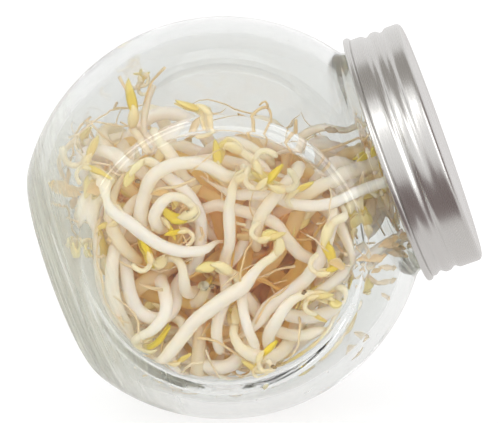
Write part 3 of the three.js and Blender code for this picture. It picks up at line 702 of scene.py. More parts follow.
def make_lid_shape():
    maker = spin_outlines(lid_outside(), lid_inside())
    which = maker.verts.layers.int["outline"]
    for face in maker.faces:
        face.material_index = 1 if all(point[which] == 1 for point in face.verts) else 0
    for point in maker.verts:
        place = point.co
        out = math.hypot(place.x, place.y)
        if out > lid_bore - 0.1 * MM and place.z < lid_top - 1.2 * MM:
            pull = 1 - LID_GROOVE_DEPTH * thread_at(place, **LID_THREAD) / out
            place.x *= pull
            place.y *= pull
    bmesh.ops.transform(maker, matrix=laid_down, verts=maker.verts)
    return maker


print("the groove winds down the skirt for", round(LID_THREAD["turns"] * THREAD_PITCH / MM, 1), "mm")

# %% [markdown]
# ## Satin metal and pale lacquer
#
# Rolled and turned metal has fine lines that run round the axis, so its gloss is stretched into a
# streak. The shader can stretch gloss by itself, but it doesn't show the lines. So they come from
# noise that changes quickly along the axis and slowly round it, and a second, finer noise gives the
# orange-peel of the lacquer. Roughness drifts a little as well. Inside, the sheet is lacquered pale.

# %% Finish the lid
METAL_DARK = (0.57, 0.555, 0.535)
METAL_PALE = (0.69, 0.68, 0.665)
LACQUER_DARK = (0.66, 0.64, 0.58)
LACQUER_PALE = (0.74, 0.72, 0.67)


def lid_finish():
    finish = Finish("lid_satin_metal", {"Metallic": 1.0, "Coat Weight": 0.15, "Coat Roughness": 0.25})
    lines = finish.cloud(1, 3, finish.squeezed((60, 60, 9000)))
    peel = finish.cloud(2600, 1)
    drift = finish.cloud(45, 2)
    finish.shade(
        Base_Color=finish.mix(drift, METAL_DARK, METAL_PALE),
        Roughness=0.2 + drift * 0.08 + lines * 0.07,
        Normal=finish.bump(lines * 0.6 + peel * 0.4, 0.012 * MM, 0.6),
    )
    return finish


def lacquer_finish():
    finish = Finish("lid_pale_lacquer", {"Coat Weight": 0.3})
    drift = finish.cloud(90, 3)
    finish.shade(Base_Color=finish.mix(drift, LACQUER_DARK, LACQUER_PALE),
                 Roughness=0.35 + drift * 0.15)
    return finish


lid = hand_over("lid_rolled_metal", make_lid_shape(), [lid_finish(), lacquer_finish()], "lid",
                ["metal_lid"])
print("lid:", len(lid.data.polygons), "faces")

# %% [markdown]
# ## The sealing disc
#
# A soft disc of foam lies in the lid and seals the jar when it is squeezed onto the rim. It could be a
# cylinder with a bevel, but as an outline it is spun by the helper that is already here. Foam is full
# of small cells, and a Voronoi pattern is made of just such cells.

# %% Make the sealing disc
LINER_RADIUS = 22.9 * MM
LINER_EDGE = 0.25 * MM
FOAM_DARK = (0.80, 0.77, 0.70)
FOAM_PALE = (0.88, 0.86, 0.81)


def make_liner_shape():
    bottom = MOUTH_AT + FIT_GAP
    top = bottom + LINER_THICKNESS
    flat = LINER_RADIUS - LINER_EDGE
    maker = spin_outlines([
        (0, bottom),
        *line_of((NECK_BORE, bottom), (flat, bottom), 4),
        *soft_corner((flat, bottom), (LINER_RADIUS, bottom), (LINER_RADIUS, bottom + LINER_EDGE), 4),
        *soft_corner((LINER_RADIUS, top - LINER_EDGE), (LINER_RADIUS, top), (flat, top), 4),
        (flat, top),
        (0, top),
    ])
    bmesh.ops.transform(maker, matrix=laid_down, verts=maker.verts)
    return maker


def liner_finish():
    finish = Finish("liner_soft_foam", {"Subsurface Weight": 0.1, "Subsurface Scale": 1 * MM})
    cells = finish.add("ShaderNodeTexVoronoi", None, {"Vector": finish.place, "Scale": 2500})
    finish.shade(Base_Color=finish.mix(finish.cloud(160, 3), FOAM_DARK, FOAM_PALE),
                 Roughness=0.55 + cells * 0.2, Normal=finish.bump(cells, 0.05 * MM))
    return finish


liner = hand_over("liner_sealing_disc", make_liner_shape(), [liner_finish()], "seal",
                  ["lid_liner"])
print("liner:", len(liner.data.polygons), "faces")

# %% [markdown]
# ## The sprouts' lines
#
# Every sprout is already in the frame as a coarse tube of five-sided rings. Its line could be drawn
# anew, but then it would miss its coarse self, so the fine sprout follows the tube. We merge a copy's
# loose triangles, find a tip and walk from ring to ring. The middle of each ring is a knot of the
# sprout's line, and the ring's spread tells how thick the sprout is there and which way its flattened
# head faces. A fill node holds two sprouts, root to root.

# %% Walk from ring to ring
CAD_SIDES = 5
MERGE = 0.002 * MM


def rings_of(node):
    """A sprout's rings of points, in order, from one tip to the other."""
    maker = bmesh.new()
    maker.from_mesh(frame["nodes"][node].data)
    bmesh.ops.remove_doubles(maker, verts=maker.verts, dist=MERGE)
    near = {point: [edge.other_vert(point) for edge in point.link_edges] for point in maker.verts}
    tip = next(point for point in maker.verts if len(near[point]) == CAD_SIDES
               and all(len(near[other]) == CAD_SIDES for other in near[point]))
    rings, ring, seen = [], [tip], {tip}
    while ring:
        rings.append([point.co.copy() for point in ring])
        following = []
        for point in ring:
            for other in near[point]:
                if other not in seen:
                    seen.add(other)
                    following.append(other)
        ring = following
    maker.free()
    return rings


sprout_nodes = sorted(node for node in frame["nodes"] if node.startswith("sprout"))
print("rings in the first sprout:", len(rings_of(sprout_nodes[0])))

# %% Turn rings into knots
CAD_FULLNESS = 1.24  # how much wider a five-sided ring is than the round stem it stands for
Knot = namedtuple("Knot", "place radius thin")


def knot_of(ring):
    middle = sum(ring, Vector()) / len(ring)
    offsets = numpy.array([point - middle for point in ring])
    spreads, ways = numpy.linalg.eigh(offsets.T @ offsets)
    radius = math.sqrt(2 * max(spreads[1], 0) / CAD_SIDES) / CAD_FULLNESS
    return Knot(middle, radius, Vector(ways[:, 1]))


def eased(knots):
    """The knots with their folds softened: each inner one moves towards its neighbours' middle."""
    inner = [knot._replace(place=(knot.place * 2 + before.place + after.place) / 4)
             for before, knot, after in zip(knots, knots[1:], knots[2:])]
    return [knots[0], *inner, knots[-1]]


def sprouts_of(node):
    """The node's one or two sprouts, each a list of knots from its head to its root."""
    knots = [knot_of(ring) for ring in rings_of(node)]
    if "fill" in node:
        middle = min(range(2, len(knots) - 2), key=lambda i: knots[i].radius)
        return [eased(eased(half)) for half in (knots[:middle + 1], knots[:middle - 1:-1])]
    if knots[1].radius < knots[-2].radius:
        knots.reverse()
    return [knots]


sprout_knots = {node: sprouts_of(node) for node in sprout_nodes}
print("sprouts in the frame:", sum(len(pair) for pair in sprout_knots.values()))

# %% [markdown]
# ## A smooth spine
#
# A stem drawn straight from knot to knot would look folded, and a subdivided one would shrink away
# from its knots. So we run a Bezier curve through them, each with a direction taken from its
# neighbours. A frame travels down the curve with it: it starts with the way the head is flattened and
# never twists more than the curve itself does.

# %% Run a curve through the knots
def curve_through(places, values, spacing):
    """Points on a smooth curve through the places, with the values in between."""
    last = len(places) - 1
    ways = [(places[min(i + 1, last)] - places[max(i - 1, 0)]).normalized() for i in range(last + 1)]
    points, shares = [], []
    for i in range(last):
        reach = (places[i + 1] - places[i]).length
        count = max(1, round(reach / spacing))
        handle = reach / 3
        bend = geometry.interpolate_bezier(
            places[i], places[i] + ways[i] * handle,
            places[i + 1] - ways[i + 1] * handle, places[i + 1], count + 1)
        points += bend[:-1]
        shares += [values[i] + (values[i + 1] - values[i]) * step / count for step in range(count)]
    return points + [places[last]], shares + [values[last]]


bend = curve_through([Vector((0, 0, 0)), Vector((3, 0, 0)), Vector((3, 3, 0))], [1, 1, 0], 1)[0]
print("three knots make", len(bend), "points")

# %% Build the spine
Bone = namedtuple("Bone", "place radius ahead wide thin distance")


def spine_of(places, radii, spacing, thin):
    points, thickness = curve_through(places, radii, spacing)
    last = len(points) - 1
    spine, distance = [], 0
    for i, point in enumerate(points):
        ahead = (points[min(i + 1, last)] - points[max(i - 1, 0)]).normalized()
        thin = (thin - ahead * thin.dot(ahead)).normalized()
        if i > 0:
            distance += (point - points[i - 1]).length
        spine.append(Bone(point, thickness[i], ahead, thin.cross(ahead), thin, distance))
    return spine


def spine_of_sprout(knots, spacing, thin=None):
    """The sprout's spine. Its head is flattened as the knots say, or along `thin`."""
    head = max(knots[:8], key=lambda knot: knot.radius)
    places, radii = [knot.place for knot in knots], [knot.radius for knot in knots]
    return spine_of(places, radii, spacing, thin or head.thin)


first_spine = spine_of_sprout(sprout_knots[sprout_nodes[0]][0], 1 * MM)
print("the first sprout is", round(first_spine[-1].distance / MM), "mm long")

# %% [markdown]
# ## Growing a sprout
#
# A mung bean sprout is a hooked white stem. At its head the two halves of the bean have opened and
# hold the first pair of yellow leaves, and at its foot it thins to a tan root. A bevelled curve could
# make the stem, but its points couldn't carry numbers for the finish. So the stem is a grid wrapped
# round the spine, and so is each half bean, flattened on its inner side. Each leaf is a cupped grid
# that is given a thickness. Four numbers painted on the points tell the finish what is what.

# %% Wrap a grid round a spine
MARKS = ("seed_leaf", "leaf", "root", "tone")


class Bed:
    """A bmesh that sprouts are grown in, with the marks that their finish reads."""

    def __init__(self):
        self.maker = bmesh.new()
        for mark in MARKS:
            self.maker.verts.layers.float.new(mark)
        self.layers = {mark: self.maker.verts.layers.float[mark] for mark in MARKS}

    def paint(self, point, **marks):
        for mark, value in marks.items():
            point[self.layers[mark]] = value

    def wrap(self, spine, sides, outline=None, **marks):
        """A grid wrapped round the spine. The outline says how far out a turn is, wide and thin; a
        mark is one number, or a list with one for each bone."""
        grid = bmesh.ops.create_grid(
            self.maker, x_segments=len(spine) - 1, y_segments=sides, size=1)["verts"]
        for point in grid:
            step = round((point.co.x + 1) / 2 * (len(spine) - 1))
            turn = (point.co.y + 1) * math.pi
            bone = spine[step]
            wide, thin = math.cos(turn) * bone.radius, math.sin(turn) * bone.radius
            if outline:
                wide, thin = outline(wide, thin)
            point.co = bone.place + bone.wide * wide + bone.thin * thin
            self.paint(point, **{name: value[step] if isinstance(value, list) else value
                                 for name, value in marks.items()})
        bmesh.ops.remove_doubles(self.maker, verts=grid, dist=MERGE)

    def sheet(self, across, along, shape, thickness, **marks):
        """A grid whose points are placed by a shape, from -1 to 1 both ways, and then thickened."""
        grid = bmesh.ops.create_grid(
            self.maker, x_segments=across, y_segments=along, size=1)["verts"]
        faces = {face for point in grid for face in point.link_faces}
        for point in grid:
            point.co = shape(point.co.x, point.co.y)
            self.paint(point, **marks)
        thick = bmesh.ops.solidify(self.maker, geom=list(faces), thickness=thickness)
        for part in thick["geom"]:
            if isinstance(part, bmesh.types.BMVert):
                self.paint(part, **marks)


print("marks on each point:", MARKS)

# %% Grow a stem
HEAD_LENGTH = 10.5 * MM
STEM_TOP = 7.4 * MM
STEM_FULL = 6 * MM  # how far past the head a stem reaches its full thickness
NECK_THICKNESS = 0.85 * MM
ROOT_LENGTH = 13 * MM
ROOT_THICKNESS = 0.24 * MM


def grow_stem(bed, spine, sides, tone):
    """The stem: yellow and slender at the head, uneven along the middle, tapered to the root."""
    bones, roots, yellows = [], [], []
    for bone in spine:
        if bone.distance < STEM_TOP:
            continue
        swell = 1 + 0.12 * noise.noise(bone.place / (11 * MM))
        swell += 0.03 * noise.noise(bone.place / (2 * MM))
        left = min((spine[-1].distance - bone.distance) / ROOT_LENGTH, 1)
        taper = left * left * (3 - 2 * left)
        full = min(max((bone.distance - HEAD_LENGTH) / STEM_FULL, 0), 1)
        radius = NECK_THICKNESS + (bone.radius - NECK_THICKNESS) * full
        radius = ROOT_THICKNESS + (radius * swell - ROOT_THICKNESS) * taper
        bones.append(bone._replace(radius=max(radius, ROOT_THICKNESS)))
        roots.append(1 - taper ** 0.7)
        yellows.append(0.6 * (1 - full))
    ends = [bones[0]._replace(radius=0), *bones, bones[-1]._replace(radius=0)]
    bed.wrap(ends, sides, root=[roots[0], *roots, roots[-1]],
             seed_leaf=[yellows[0], *yellows, yellows[-1]], tone=tone)


print("a stem starts", round(STEM_TOP / MM, 1), "mm from the tip of the head")

# %% Open the bean
BEAN_LENGTH = 5.6 * MM
BEAN_THICKNESS = 0.85 * MM
BEAN_STEPS = 10
BEAN_APART = 0.35 * MM  # half the gap between the halves, where they hang on the stem


def bone_at(spine, distance):
    """The spine at a distance; before its start it runs straight on."""
    after = next((i for i in range(1, len(spine)) if spine[i].distance >= distance), len(spine) - 1)
    start, end = spine[after - 1], spine[after]
    share = (distance - start.distance) / (end.distance - start.distance)
    return end._replace(place=start.place.lerp(end.place, max(share, 0)), distance=distance)


def half_bean(wide, thin):
    """A circle made into half a bean's outline: wider than thick, and flat on its inner side."""
    return wide * 1.35, thin if thin > 0 else thin * 0.3


def grow_bean(bed, spine, size, tone, splay):
    """The bean's two halves, each round outside and flat where it faced the other."""
    for side in (-1, 1):
        bones = []
        for step in range(BEAN_STEPS + 1):
            share = step / BEAN_STEPS  # from the stem to the blunt tip
            bone = bone_at(spine, HEAD_LENGTH - share * BEAN_LENGTH * size)
            thick = math.sin(math.pi * share ** 0.8) ** 0.8 if 0 < step < BEAN_STEPS else 0
            out = bone.thin * side * (BEAN_APART + splay * share)
            bones.append(bone._replace(radius=thick * BEAN_THICKNESS * size,
                                       place=bone.place + out, thin=bone.thin * side))
        bed.wrap(bones, 12, outline=half_bean, seed_leaf=1.0, tone=tone)


print("half a bean is", round(BEAN_LENGTH / MM, 1), "mm long")

# %% Cup the leaves
LEAF_BASE = 6.6 * MM  # from the sprout's tip
LEAF_WIDTH = 1.05 * MM  # from its middle to its edge
LEAF_SHEET = 0.16 * MM
LEAF_STEPS = 12


def grow_leaves(bed, spine, reach, bright, tone, spread):
    """The first pair of leaves, cupped round each other and pointing on from the head."""
    bones = [bone_at(spine, LEAF_BASE - reach * step / LEAF_STEPS) for step in range(LEAF_STEPS + 1)]
    for side in (-1, 1):
        def shape(across, way):
            step = round((way + 1) * LEAF_STEPS / 2)
            along = step / LEAF_STEPS  # 0 at the base, 1 at the tip
            width = LEAF_WIDTH * math.sin(math.pi * (0.14 + 0.85 * along) ** 0.8) ** 0.8
            cup = 0.42 * MM * (1 - across * across) * (1 - along * 0.5)
            crease = 0.14 * MM * max(0, 1 - abs(across) * 4)
            out = side * (0.12 * MM + cup + spread * along * along - crease)
            return bones[step].place + bones[step].wide * across * width + bones[step].thin * out

        bed.sheet(6, LEAF_STEPS, shape, LEAF_SHEET, leaf=bright, tone=tone)


print("a leaf is", round(2 * LEAF_WIDTH / MM, 1), "mm wide")

# %% [markdown]
# ## Living flesh
#
# Sprouts glow because light goes a few millimetres into them and comes out again, a little warmer,
# and some of it comes right through. Stem, bean, leaf and root could each have a material, but then a
# hard line would part them. So one finish serves all: it mixes their colours by the painted marks,
# and lets the tone differ from sprout to sprout. The tone also holds painted shade and light: it is
# made deeper for the sprouts inside the heap, and paler towards the neck.

# %% Name the sprouts' colours
STEM_PALE = (0.96, 0.945, 0.92)
STEM_TAN = (0.99, 0.86, 0.58)
# STEM_DEEP is the golden colour of the heap's heart: painted shade for the dim warm light deep between
# the stems.
STEM_DEEP = (1.0, 0.80, 0.34)
SEED_LEAF = (0.96, 0.91, 0.66)
SEED_LEAF_RIPE = (0.95, 0.82, 0.45)
LEAF_PALE = (0.97, 0.88, 0.40)
LEAF_BRIGHT = (1.0, 0.84, 0.01)
ROOT_TAN = (0.86, 0.58, 0.27)
COAT_BROWN = (0.06, 0.035, 0.015)
GLOW_PALE = (1.0, 0.95, 0.84)  # the colour of light that has come through a young stem
GLOW_DEEP = (1.0, 0.86, 0.46)


def sprout_colour(finish, tone, blotch, brown):
    """Stem, bean, leaf, root and seed coat, each where its mark is painted."""
    stem = finish.mix(tone * 0.8 + blotch * 0.35 - 0.2, STEM_PALE, STEM_TAN)
    stem = finish.mix(tone - 1, stem, STEM_DEEP)
    bean = finish.mix(blotch, SEED_LEAF, SEED_LEAF_RIPE)
    leaf = finish.mix(finish.mark("leaf"), LEAF_PALE, LEAF_BRIGHT)
    colour = finish.mix(finish.mark("seed_leaf"), stem, bean)
    colour = finish.mix(finish.mark("leaf").between(0, 0.05), colour, leaf)
    colour = finish.mix(finish.mark("root") * (0.55 + blotch * 0.6), colour, ROOT_TAN)
    return finish.mix(brown, colour, COAT_BROWN)


print("a deep stem is", round(STEM_PALE[2] / STEM_DEEP[2], 1), "times less blue than a pale one")

# %% Make the sprouts' finish
# Painted light: the sprouts' colour is made paler towards the neck, standing in for the extra light that
# comes in there.
PALER_FROM = 12 * MM  # towards the neck, where more light comes in, the heap is less deep in tone
PALER_TO = 28 * MM


def sprout_finish():
    finish = Finish("sprout_flesh", {
        "Subsurface Weight": 0.5, "Subsurface Scale": 1.3 * MM, "Coat Weight": 0.15,
        "Coat Roughness": 0.12, "Subsurface Radius": (1, 0.8, 0.55),
    })
    towards_neck = finish.add("ShaderNodeSeparateXYZ", None, {0: finish.place})
    # painted light: the tone fades towards the neck, by position alone
    tone = finish.mark("tone") * (1 - towards_neck.between(PALER_FROM, PALER_TO) * 0.6)
    blotch = finish.cloud(160, 3)
    fine = finish.cloud(1300, 2)
    brown = (finish.mark("root") - 1).between(0, 1)  # only a seed coat is painted above 1
    finish.shade(Base_Color=sprout_colour(finish, tone, blotch, brown), Roughness=0.3 + fine * 0.2,
                 Normal=finish.bump(fine * 0.5 + blotch, 0.12 * MM))
    glow = finish.add("ShaderNodeBsdfTranslucent", None,
                      {"Color": finish.mix(tone * 0.7, GLOW_PALE, GLOW_DEEP)})
    through = (1 - brown) * (0.38 + tone * 0.26 - finish.mark("leaf") * 0.2)
    finish.show(finish.blend(through, finish.surface(), glow))
    return finish


flesh = sprout_finish()
print("nodes in the sprouts' finish:", len(flesh.nodes))

# %% [markdown]
# ## The sprouts, one by one
#
# A few sprouts in front show bright yellow leaves; the rest have small pale ones still folded between
# the bean's halves. Copies of one model could fill the jar, but no two sprouts bend alike, so each is
# grown along its own line. Those in front get more sides and closer bones than the ones behind.

# %% Dress every sprout of the frame
BRIGHT_HEADS = ("ring_head", "low_hook", "yellow_leaf", "centre_head", "tuft", "middle_upright",
                "green_head")
OPEN_LEAF = 6.6 * MM
Care = namedtuple("Care", "spacing sides deepest_tone")  # how a sprout is grown, here or there
# A sprout's tone differs at random. Behind the front it may run deeper, and that part is painted shade of
# the heap's inside.
IN_FRONT = Care(0.9 * MM, 14, 0.35)
BEHIND = Care(1.5 * MM, 10, 0.55)


def grow(bed, knots, care, tone, bright, dice):
    """A whole sprout; the dice turn its head, open its bean and size its leaves."""
    facing = Matrix.Rotation(dice.gauss(0, 0.5), 3, "X") @ Vector((dice.gauss(0, 0.4), 1, 0))
    spine = spine_of_sprout(knots, care.spacing, facing)
    grow_stem(bed, spine, care.sides, tone)
    grow_bean(bed, spine, dice.uniform(0.85, 1.05), tone, dice.uniform(0.1, 1.0) * MM)
    reach = OPEN_LEAF if bright else dice.uniform(3.2, 5.4) * MM
    leafy = dice.uniform(0.75, 1) if bright else dice.uniform(0.12, 0.5)
    grow_leaves(bed, spine, reach, leafy, tone, dice.uniform(0.1, 0.6) * MM)


for number, node in enumerate(sprout_nodes):
    dice = random.Random(number)
    care = IN_FRONT if "front" in node else BEHIND
    bed = Bed()
    for knots in sprout_knots[node]:
        bright = node.endswith(BRIGHT_HEADS) or (care is BEHIND and dice.random() < 0.25)
        grow(bed, knots, care, dice.uniform(0, care.deepest_tone), bright, dice)
    hand_over("fine_" + node, bed.maker, [flesh], "jar", [node])
print("dressed sprout nodes:", len(sprout_nodes))

# %% [markdown]
# ## The heart of the heap
#
# The frame's sprouts are the ones that touch each other and the glass. Between them the real heap is
# packed tighter, so the gaps show more stems behind. They could be dropped in by a simulation, but
# behind the others nobody can tell. So we borrow the lines of the fill sprouts, turn the heap back to
# front and shrink it a little, and shrink it again for the very middle. Their tone is deeper and more
# golden than any other sprout's: painted shade for the dim warm light between the stems.

# %% Grow the heart
HEAP_MIDDLE = ball_middle + Vector((0, 0, -6 * MM))


def heart_lines(shrink, turn):
    """The fill sprouts' knots, turned about +Z in the middle of the heap and drawn in."""
    change = Matrix.Rotation(turn, 3, "Z") @ Matrix.Diagonal(shrink)
    for node in sprout_nodes:
        if "fill" in node:
            for knots in sprout_knots[node]:
                yield [knot._replace(place=HEAP_MIDDLE + change @ (knot.place - HEAP_MIDDLE),
                                     thin=(change @ knot.thin).normalized()) for knot in knots]


dice = random.Random(5)
for name, shrink, turn, every in (
    ("heart_outer", (0.86, -0.8, 0.86), 0, 1),
    ("heart_middle", (-0.74, 0.7, 0.78), 0.5, 2),
    ("heart_inner", (0.55, 0.6, 0.6), math.pi, 2),
):
    bed = Bed()
    for knots in list(heart_lines(shrink, turn))[::every]:
        spine = spine_of_sprout(knots, 2.5 * MM)
        # painted shade: the heart's tone runs from 1 to 2, into the deep golden colour
        grow_stem(bed, spine, 8, dice.uniform(1, 2))
        grow_bean(bed, spine, 0.95, 0.8, 0.5 * MM)
    heart = hand_over(name, bed.maker, [flesh], "jar", [])
    print(name, len(heart.data.polygons), "faces")

# %% [markdown]
# ## Loose roots
#
# Fine side roots and broken root ends lie all through the heap and stick out of its top. A hair
# system could scatter them, but it doesn't know where the glass is. So each one is a thread that
# wanders, turning a little at every step, and stops before it meets the glass or leaves the heap. A
# plain rule says how much room there is at a point inside the jar.

# %% Measure the room in the jar
HEAP_TOP = 18.5 * MM  # above the ball's middle
HEAP_END = 29.5 * MM  # towards the neck's low corner


def room_in_jar(place):
    """How far a point inside the jar is from the glass; less than 0 outside."""
    offset = place - ball_middle
    along = offset.dot(lid_axis)
    out = (offset - along * lid_axis).length
    in_ball = min(ball_bore - offset.length, window_bore - abs(offset.y), foot_bore + along)
    in_neck = min(NECK_BORE - out, MOUTH_AT - along) if along > 0 else -1
    return max(in_ball, in_neck)


def under_top(place):
    """How far a point is inside the heap, which ends at its top and before the low corner."""
    offset = place - ball_middle
    return min(HEAP_TOP - 0.1 * offset.x - offset.z, HEAP_END - 0.85 * offset.x + 0.53 * offset.z)


print("room at the ball's middle:", round(room_in_jar(ball_middle) / MM, 1), "mm")

# %% Let a thread wander
STRIDE = 2 * MM
GLASS_GAP = 0.5 * MM
POKING_OUT = 1.2 * MM  # how far a thread may stick out of the heap


def wander(start, length, dice):
    """Places along a thread, a stride apart."""
    heading = Vector([dice.gauss(0, 1) for _ in range(3)]).normalized()
    places = [start]
    for _ in range(round(length / STRIDE)):
        heading = (heading + Vector([dice.gauss(0, 0.28) for _ in range(3)])).normalized()
        ahead = places[-1] + heading * STRIDE
        if room_in_jar(ahead) < GLASS_GAP or under_top(ahead) < -POKING_OUT:
            break
        places.append(ahead)
    return places


print("a long thread has", len(wander(ball_middle, 26 * MM, random.Random(0))), "places")

# %% Scatter the roots
def random_start(dice, least, most):
    """A random point in the heap, between so much and so much room from the glass."""
    while True:
        offset = Vector((dice.uniform(-36, 42), dice.uniform(-26, 26), dice.uniform(-35, 20))) * MM
        place = ball_middle + offset
        if least < room_in_jar(place) < most and under_top(place) > 0:
            return place


def add_thread(bed, places, thick, root, tone=0.5, spacing=STRIDE):
    """A thread through the places that thins towards its end."""
    radii = [thick * (1 - 0.6 * i / len(places)) for i in range(len(places))]
    bones = spine_of(places, radii, spacing, Vector((0.3, 0.9, 0.2)))
    bones = [bones[0]._replace(radius=0), *bones, bones[-1]._replace(radius=0)]
    bed.wrap(bones, 5, root=root, tone=tone)


ROOT_THREADS = 320
dice = random.Random(11)
bed = Bed()
for number in range(ROOT_THREADS):
    start = random_start(dice, 0.8 * MM, (4 if number % 2 else 9) * MM)
    places = wander(start, dice.uniform(10, 26) * MM, dice)
    if len(places) > 4:
        add_thread(bed, places, dice.uniform(0.16, 0.36) * MM, dice.uniform(0.3, 1))
threads = hand_over("root_threads", bed.maker, [flesh], "jar", [])
print("root threads:", len(threads.data.polygons), "faces")

# %% [markdown]
# ## What sticks out
#
# A few strands stand up out of the heap against the empty glass, and two white stems run to the neck.
# Threads that wander could stand up too, but everyone looks at these, so each is given as a few
# points from the ball's middle, and drawn by the same helper as the loose roots.

# %% Place the strands
def in_heap(x, y, z):
    """A place given in millimetres from the ball's middle."""
    return ball_middle + Vector((x, y, z)) * MM


def against_front(x, z, deep):
    """The place on the inside of the front glass, so many millimetres from it."""
    y = -27
    while room_in_jar(in_heap(x, y, z)) < deep * MM and y < 20:
        y += 0.2
    return in_heap(x, y, z)


STANDING_STRANDS = (  # half its thickness, how much of a root, and x, y, z from the ball's middle
    (0.42, 0.8, ((5.2, 0, 15), (5.2, 0, 20), (6.8, 1, 21.7), (8.7, 1, 22.1), (9.3, 0, 19.6),
                 (8.3, 0, 15))),
    (0.3, 0.9, ((8.7, 1, 22), (8.2, 1, 23.4), (7, 1, 22.6))),
    (0.6, 0.7, ((13.6, 0, 14), (14, 0, 17), (14.1, 0, 20))),
    (1.05, 0.15, ((14, 2, 15), (17.1, 1, 17.4), (20.1, 0, 18.4), (24, 0, 17.8), (27.4, 0, 19.4))),
    (0.4, 0.7, ((18, 0, 13), (21, 0, 13.9), (24, 0, 15.1), (29.4, 0, 17.6))),
    (0.75, 0.5, ((-28.9, 0, 15.8), (-31, 0, 14), (-32.6, 0, 11.5), (-31.5, 1, 7))),
    (0.85, 0.35, ((-26.9, 0, 16), (-26.6, 0, 14), (-25.8, 0, 10.5), (-25, 1, 6))),
    (0.35, 0.9, ((-11.5, 2, 30), (-13, 2, 28.4), (-14.4, 1, 26.8), (-15.6, 0, 23))),
    (0.9, 0.2, ((-14, 2, 26.5), (-15, 1, 23), (-15.6, 0, 18), (-14, 0, 12))),
    (0.4, 0.8, ((-20.4, 0, 28.5), (-19.4, 0, 26.5), (-18.6, 1, 24))),
    (0.5, 0.6, ((-8, 2, 22), (-4, 2, 21), (0, 1, 20.3), (4, 1, 19.6))),
    (1.35, 0.05, ((18, -20, -10), (25, -17.5, -5), (30, -15.5, -1.5), (34, -14, 1))),
    (1.15, 0.05, ((22, -14, -10.5), (28, -13, -6), (32, -11, -3), (36, -9, -1.5))),
)
bed = Bed()
for thick, root, places in STANDING_STRANDS:
    add_thread(bed, [in_heap(*place) for place in places], thick * MM, root, root, 0.6 * MM)
strands = hand_over("standing_strands", bed.maker, [flesh], "jar", [])
print("standing strands:", len(strands.data.polygons), "faces")

# %% [markdown]
# ## Heads between the stems
#
# Most sprouts hide their stem and show only their head: a hooked neck, the two halves of the bean and
# a yellow leaf. Instances could repeat one head, but they would all be opened alike. So each is grown
# anew on the same short hooked spine, then scaled, turned and moved into place.

# %% Place the small heads
HOOK = ((0, 0, 0), (4, 0, 0.2), (7.5, 0, 0.4), (10, 0, -0.6), (11, 0, -3), (9.5, 0, -5), (7, 0, -6))
HEADS = (  # x, z of the leaf's tip; which way it points, in degrees; how deep, how large, how bright
    (11.6, 17.6, 45, 0.5, 0.72, 1), (9.4, 12.4, -60, 0.5, 0.7, 0.4), (5.2, 16.2, 150, 0.8, 0.8, 0.3),
    (-1.6, 21.5, 100, 5, 0.8, 0.7), (-9.3, 26.3, 160, 5, 0.75, 0.4), (-18.4, 28.8, 100, 8, 0.55, 1),
    (-20.2, 27.6, 150, 8, 0.5, 0.9), (-15.8, 26.6, 60, 8, 0.5, 0.9), (-21.5, 14.3, -20, 1.5, 0.55, 0.8),
    (-11.4, 3.2, 190, 2, 0.5, 1), (-9, 2, -60, 2.5, 0.5, 0.9), (-15.8, 3.3, 110, 0.8, 0.6, 1),
    (10.5, -17.6, 50, 1, 0.6, 1), (8.2, -20.4, 60, 1.5, 0.5, 0.9), (3.4, -22, 150, 1.5, 0.55, 0.3),
    (23.6, -2.3, 20, 1, 0.6, 0.8), (12.3, 3.9, 15, 0.8, 0.6, 0.1), (21.5, -8.5, 10, 1, 0.55, 0.1),
    (-23.5, 19.5, 60, 3, 0.7, 0.3), (-25.4, 4, 200, 1.5, 0.6, 0.4), (-6, -20.5, 30, 1.5, 0.5, 0.5),
    (17.5, 13.5, 30, 3, 0.6, 0.7), (29.5, 15, 80, 5, 0.5, 0.8), (27.5, 4, -70, 3, 0.5, 0.7),
)
HEAD_DEPTH = 0.9  # from a head's middle to its side, in millimetres
print("small heads:", len(HEADS))

# %% Grow the small heads
def add_head(bed, tip, turn, size, bright, dice):
    """A hooked head whose leaf points `turn` radians up from the right, as the viewer sees it."""
    grown = Bed()
    spine = spine_of([Vector(place) * MM for place in HOOK], [1.2 * MM] * len(HOOK), 0.8 * MM,
                     Vector((0, 1, dice.uniform(-0.6, 0.6))))
    bones = [bone for bone in spine if bone.distance > STEM_TOP]
    radii = [0, *(NECK_THICKNESS for _ in bones[2:]), 0]
    grown.wrap([bone._replace(radius=radius) for bone, radius in zip(bones, radii)], 9,
               seed_leaf=0.5, tone=0.4)
    grow_bean(grown, spine, 0.95, 0.4, dice.uniform(0.3, 1.1) * MM)
    grow_leaves(grown, spine, 6.4 * MM, bright, 0.4, dice.uniform(0.1, 0.6) * MM)
    scale = Matrix.Diagonal((-size, -size, size * dice.choice((-1, 1)), 1))
    place = Matrix.Translation(tip) @ Matrix.Rotation(-turn, 4, "Y") @ Matrix.Rotation(
        dice.uniform(-0.5, 0.5), 4, "X") @ scale
    mesh = bpy.data.meshes.new("one_head")
    bmesh.ops.transform(grown.maker, matrix=place, verts=grown.maker.verts)
    grown.maker.to_mesh(mesh)
    grown.maker.free()
    bed.maker.from_mesh(mesh)
    bpy.data.meshes.remove(mesh)


dice = random.Random(8)
bed = Bed()
for x, z, turn, deep, size, bright in HEADS:
    add_head(bed, against_front(x, z, deep + HEAD_DEPTH), math.radians(turn), size, bright, dice)
heads = hand_over("small_heads", bed.maker, [flesh], "jar", [])
print("small heads:", len(heads.data.polygons), "faces")

# %% [markdown]
# ## Shed skins
#
# As the sprouts grow they shed their seed coats, and their smallest leaves wither. These lie between
# the stems, tan to brown, and some cling to the wet glass. They could be flat cards with a cut-out
# picture, but then they would vanish from the side. So each is a pointed grid with a ragged edge,
# curled by a plain rule and given a thickness.

# %% Curl a skin
SKIN_SHEET = 0.13 * MM


